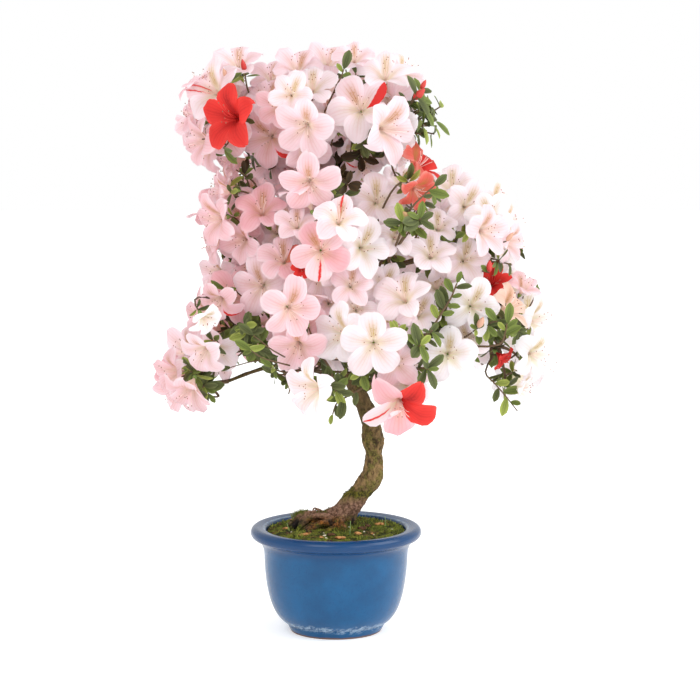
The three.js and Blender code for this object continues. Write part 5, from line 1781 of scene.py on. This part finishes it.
def facing_from(turn, lift):
    """The direction that is turned to the right of the viewer and lifted by two angles."""
    side, rise = math.radians(turn), math.radians(lift)
    return np.array((math.sin(side) * math.cos(rise), -math.cos(side) * math.cos(rise), math.sin(rise)))


def place_spray(masses, right, up, turn, lift, leaves, length):
    """Mass, root and end of the twig of a leafy spray, with its leaf count and length."""
    depth, mass = nearest_mass(masses, right, up, SPRAY_REACH)
    end = along_sight(right, up, depth)
    inward = unit(mass.heart - end)
    return mass, end + SPRAY_TWIG * (0.6 * inward - 0.5 * facing_from(turn, lift)), end, leaves, length


def show_sprays(masses):
    """The leafy sprays that show between the blossoms, each with one more further in, or two where
    it stands in a gap."""
    sprays = [place_spray(masses, *row[:6]) for row in SPRAYS]
    for mass, root, end, leaves, length in list(sprays):
        for step in (1, 2) if seen_in(GAPS, end[None])[0] else (1,):
            inward = step * SPRAY_STEP * unit(mass.heart - end)
            sprays.append((mass, root + inward, end + inward, leaves, length))
    return sprays


# Stems that show in front of the crown: way points (right, up) as they are seen from EYE, how
# far in front of its mass's skin each one runs, its radii, and leaves along it.
STEMS = [
    ([(82, 292), (96, 306), (106, 322), (114, 335), (120, 350)], 6, 1.5, 0.8, 9),
    ([(44, 256), (30, 247), (12, 237), (1, 230), (-3, 219)], 10, 1.3, 0.7, 7),
    ([(76, 426), (88, 438), (97, 446)], 10, 1.2, 0.7, 6),
    ([(-62, 272), (-74, 276), (-84, 283)], 0, 0.9, 0.5, 2),
    ([(-62, 274), (-82, 272), (-104, 266)], 0, 0.9, 0.5, 2),
    ([(-64, 284), (-74, 292), (-82, 298)], 0, 0.8, 0.5, 2),
    ([(149, 260), (158, 250), (170, 236), (181, 222)], 2, 1.1, 0.6, 7),
    ([(2, 546), (6, 554), (8, 560)], 6, 1.0, 0.7, 4),
    ([(2, 440), (8, 456), (14, 474), (16, 490)], -16, 1.4, 0.8, 3),
    ([(22, 448), (14, 462), (4, 478)], -20, 1.3, 0.8, 3),
    ([(-78, 446), (-88, 456), (-98, 462)], -12, 1.2, 0.7, 3),
    ([(164, 290), (168, 300), (170, 310)], 4, 1.2, 0.7, 5),
]
STEM_RINGS = 14
STEM_SIDES = 6
STEM_LEAF = 19.0
STEM_REACH = 0.95


def grow_stems(masses):
    """Middle lines of the stems that show: each leaves the heart of the mass that it lies over."""
    paths = []
    for seen, fore, *_ in STEMS:
        middle = seen[len(seen) // 2]
        depth, mass = nearest_mass(masses, *middle, STEM_REACH)
        line = [mass.heart] + [along_sight(right, up, depth - fore) for right, up in seen]
        paths.append(curve_through(line, np.linspace(0, 1, STEM_RINGS)))
    return paths


def make_stems(paths, paint, mass_names):
    """Stems that show: thin closed tubes."""
    radii = np.array([np.linspace(thick, thin, STEM_RINGS) for _, _, thick, thin, _ in STEMS])
    make_tubes("stems", paths, radii, STEM_SIDES, paint, mass_names)


# Buds at the ends of leafy twigs: (right, up) as they are seen from EYE, turn, lift, length,
# width and colour.
BUDS = [
    (-90, 564, -20, 60, 15, 5.5, "bud_red"), (121, 358, 10, 80, 19, 6, "bud_rose"),
    (70, 417, -50, 40, 13, 6, "bud_tan"), (82, 536, 50, 36, 18, 8, "bud_red"),
    (86, 545, 60, 60, 12, 5, "bud_red"), (144, 311, 30, 50, 15, 6.5, "bud_rose"),
    (152, 367, 10, 80, 13, 6, "bud_red"), (-108, 556, -40, 60, 12, 5, "bud_rose"),
    (172, 396, 60, 50, 12, 5, "bud_rose"),
]
BUD_COLOURS = {"bud_red": srgb(190, 52, 46), "bud_rose": srgb(196, 150, 126), "bud_tan": srgb(168, 132, 88)}
BUD_TWIG = 18.0
BUD_ROWS = 8
BUD_COLUMNS = 8


def bud_sprays(masses):
    """The leafy twigs that carry the buds: like the sprays, but longer and with few leaves."""
    found = []
    for right, up, turn, lift, length, _, _ in BUDS:
        mass, _, end, _, _ = place_spray(masses, right, up, turn, lift, 4, 14.0)
        ahead = facing_from(turn, lift)
        end = end - 0.5 * length * ahead
        found.append((mass, end - 6.0 * ahead + BUD_TWIG * unit(mass.heart - end), end, 4, 14.0))
    return found


def make_buds(carriers, mass_names):
    """Buds: spindles whose radius is the sine of the way along to the power 0.8, drawn to a point."""
    t = np.linspace(0, 1, BUD_ROWS)
    round_it = np.sin(math.pi * t ** 0.8) ** 0.8
    for name, colour in BUD_COLOURS.items():
        mine = [(row, carrier) for row, carrier in zip(BUDS, carriers) if row[6] == name]
        ahead = np.array([facing_from(row[2], row[3]) for row, _ in mine])
        length = np.array([row[4] for row, _ in mine], float)
        width = np.array([row[5] for row, _ in mine], float)
        start = np.array([carrier[2] for _, carrier in mine])
        paths = start[:, None] + t[None, :, None] * length[:, None, None] * ahead[:, None]
        radii = width[:, None] / 2 * round_it[None]
        paint = plain_paint(name, colour, 0.5)
        make_tubes(name, paths, radii, BUD_COLUMNS, paint, mass_names)


def make_crown():
    """The crown: boughs, twigs, leaves and blossoms of every mass."""
    masses = [Mass(index, *row) for index, row in enumerate(MASSES)]
    names = [mass.name for mass in masses]
    blooms = show_blooms(masses)
    fill_front(masses, blooms)
    for mass in masses:
        further_blooms(mass, masses, blooms)
    for bloom in [bloom for bloom in blooms if bloom.tint == "red" and not bloom.is_show]:
        draw_out(bloom, blooms)
    carriers = bud_sprays(masses)
    sprays = show_sprays(masses) + carriers
    stems = grow_stems(masses)
    shoots = [grow_shoots(mass, masses, blooms) for mass in masses]
    bark = bark_paint()
    make_trunk(bark)
    make_rootlets(bark)
    make_boughs(masses, bark)
    twig_bark = plain_paint("twig_bark", srgb(92, 72, 48), 0.8)
    make_twigs(masses, blooms, shoots, sprays, twig_bark, names)
    make_stems(stems, twig_bark, names)
    make_buds(carriers, names)
    make_calyxes(blooms, names)
    make_petals(blooms, names)
    make_stamens(blooms, names)
    make_leaves(blooms, [shoot for group in shoots for shoot in group], sprays, stems, names)


def make_stage():
    """A plain pale floor."""
    mesh = bpy.data.meshes.new("floor")
    corners = [(-FLOOR_HALF, -FLOOR_HALF, 0), (FLOOR_HALF, -FLOOR_HALF, 0),
               (FLOOR_HALF, FLOOR_HALF, 0), (-FLOOR_HALF, FLOOR_HALF, 0)]
    mesh.from_pydata(corners, [], [(0, 1, 2, 3)])
    finish = {"Base Color": (0.9, 0.9, 0.9, 1.0), "Roughness": 0.9,
              "Emission Color": (1.0, 1.0, 1.0, 1.0), "Emission Strength": 0.32}
    mesh.materials.append(Paint("floor_white").surface(finish))
    floor = bpy.data.objects.new("floor", mesh)
    bpy.context.scene.collection.objects.link(floor)


def make_light(name, at, aim, size, watts):
    """A square soft light that stands at a place and faces another."""
    data = bpy.data.lights.new(name, "AREA")
    data.size = size
    data.energy = watts
    lamp = bpy.data.objects.new(name, data)
    lamp.location = at
    lamp.rotation_euler = (Vector(aim) - Vector(at)).to_track_quat("-Z", "Y").to_euler()
    bpy.context.scene.collection.objects.link(lamp)


def make_studio():
    """Plain soft studio light, white all round, and the camera."""
    scene = bpy.context.scene
    scene.view_settings.view_transform = "Standard"
    world = bpy.data.worlds.new("studio")
    scene.world = world
    world.use_nodes = True
    back = world.node_tree.nodes["Background"]
    back.inputs["Color"].default_value = (1.0, 1.0, 1.0, 1.0)
    back.inputs["Strength"].default_value = 1.0
    for row in LIGHTS:
        make_light(*row)
    data = bpy.data.cameras.new("camera")
    data.sensor_width = SENSOR_WIDTH
    data.lens = CAMERA_LENS
    camera = bpy.data.objects.new("camera", data)
    at, aim = Vector(CAMERA_AT) * MM, Vector(CAMERA_AIM) * MM
    camera.location = at
    camera.rotation_euler = (aim - at).to_track_quat("-Z", "Y").to_euler()
    scene.collection.objects.link(camera)
    scene.camera = camera


make_pot()
make_moss()
make_blades()
make_chips()
make_stalks()
make_root_moss()
make_crown()
make_stage()
make_studio()
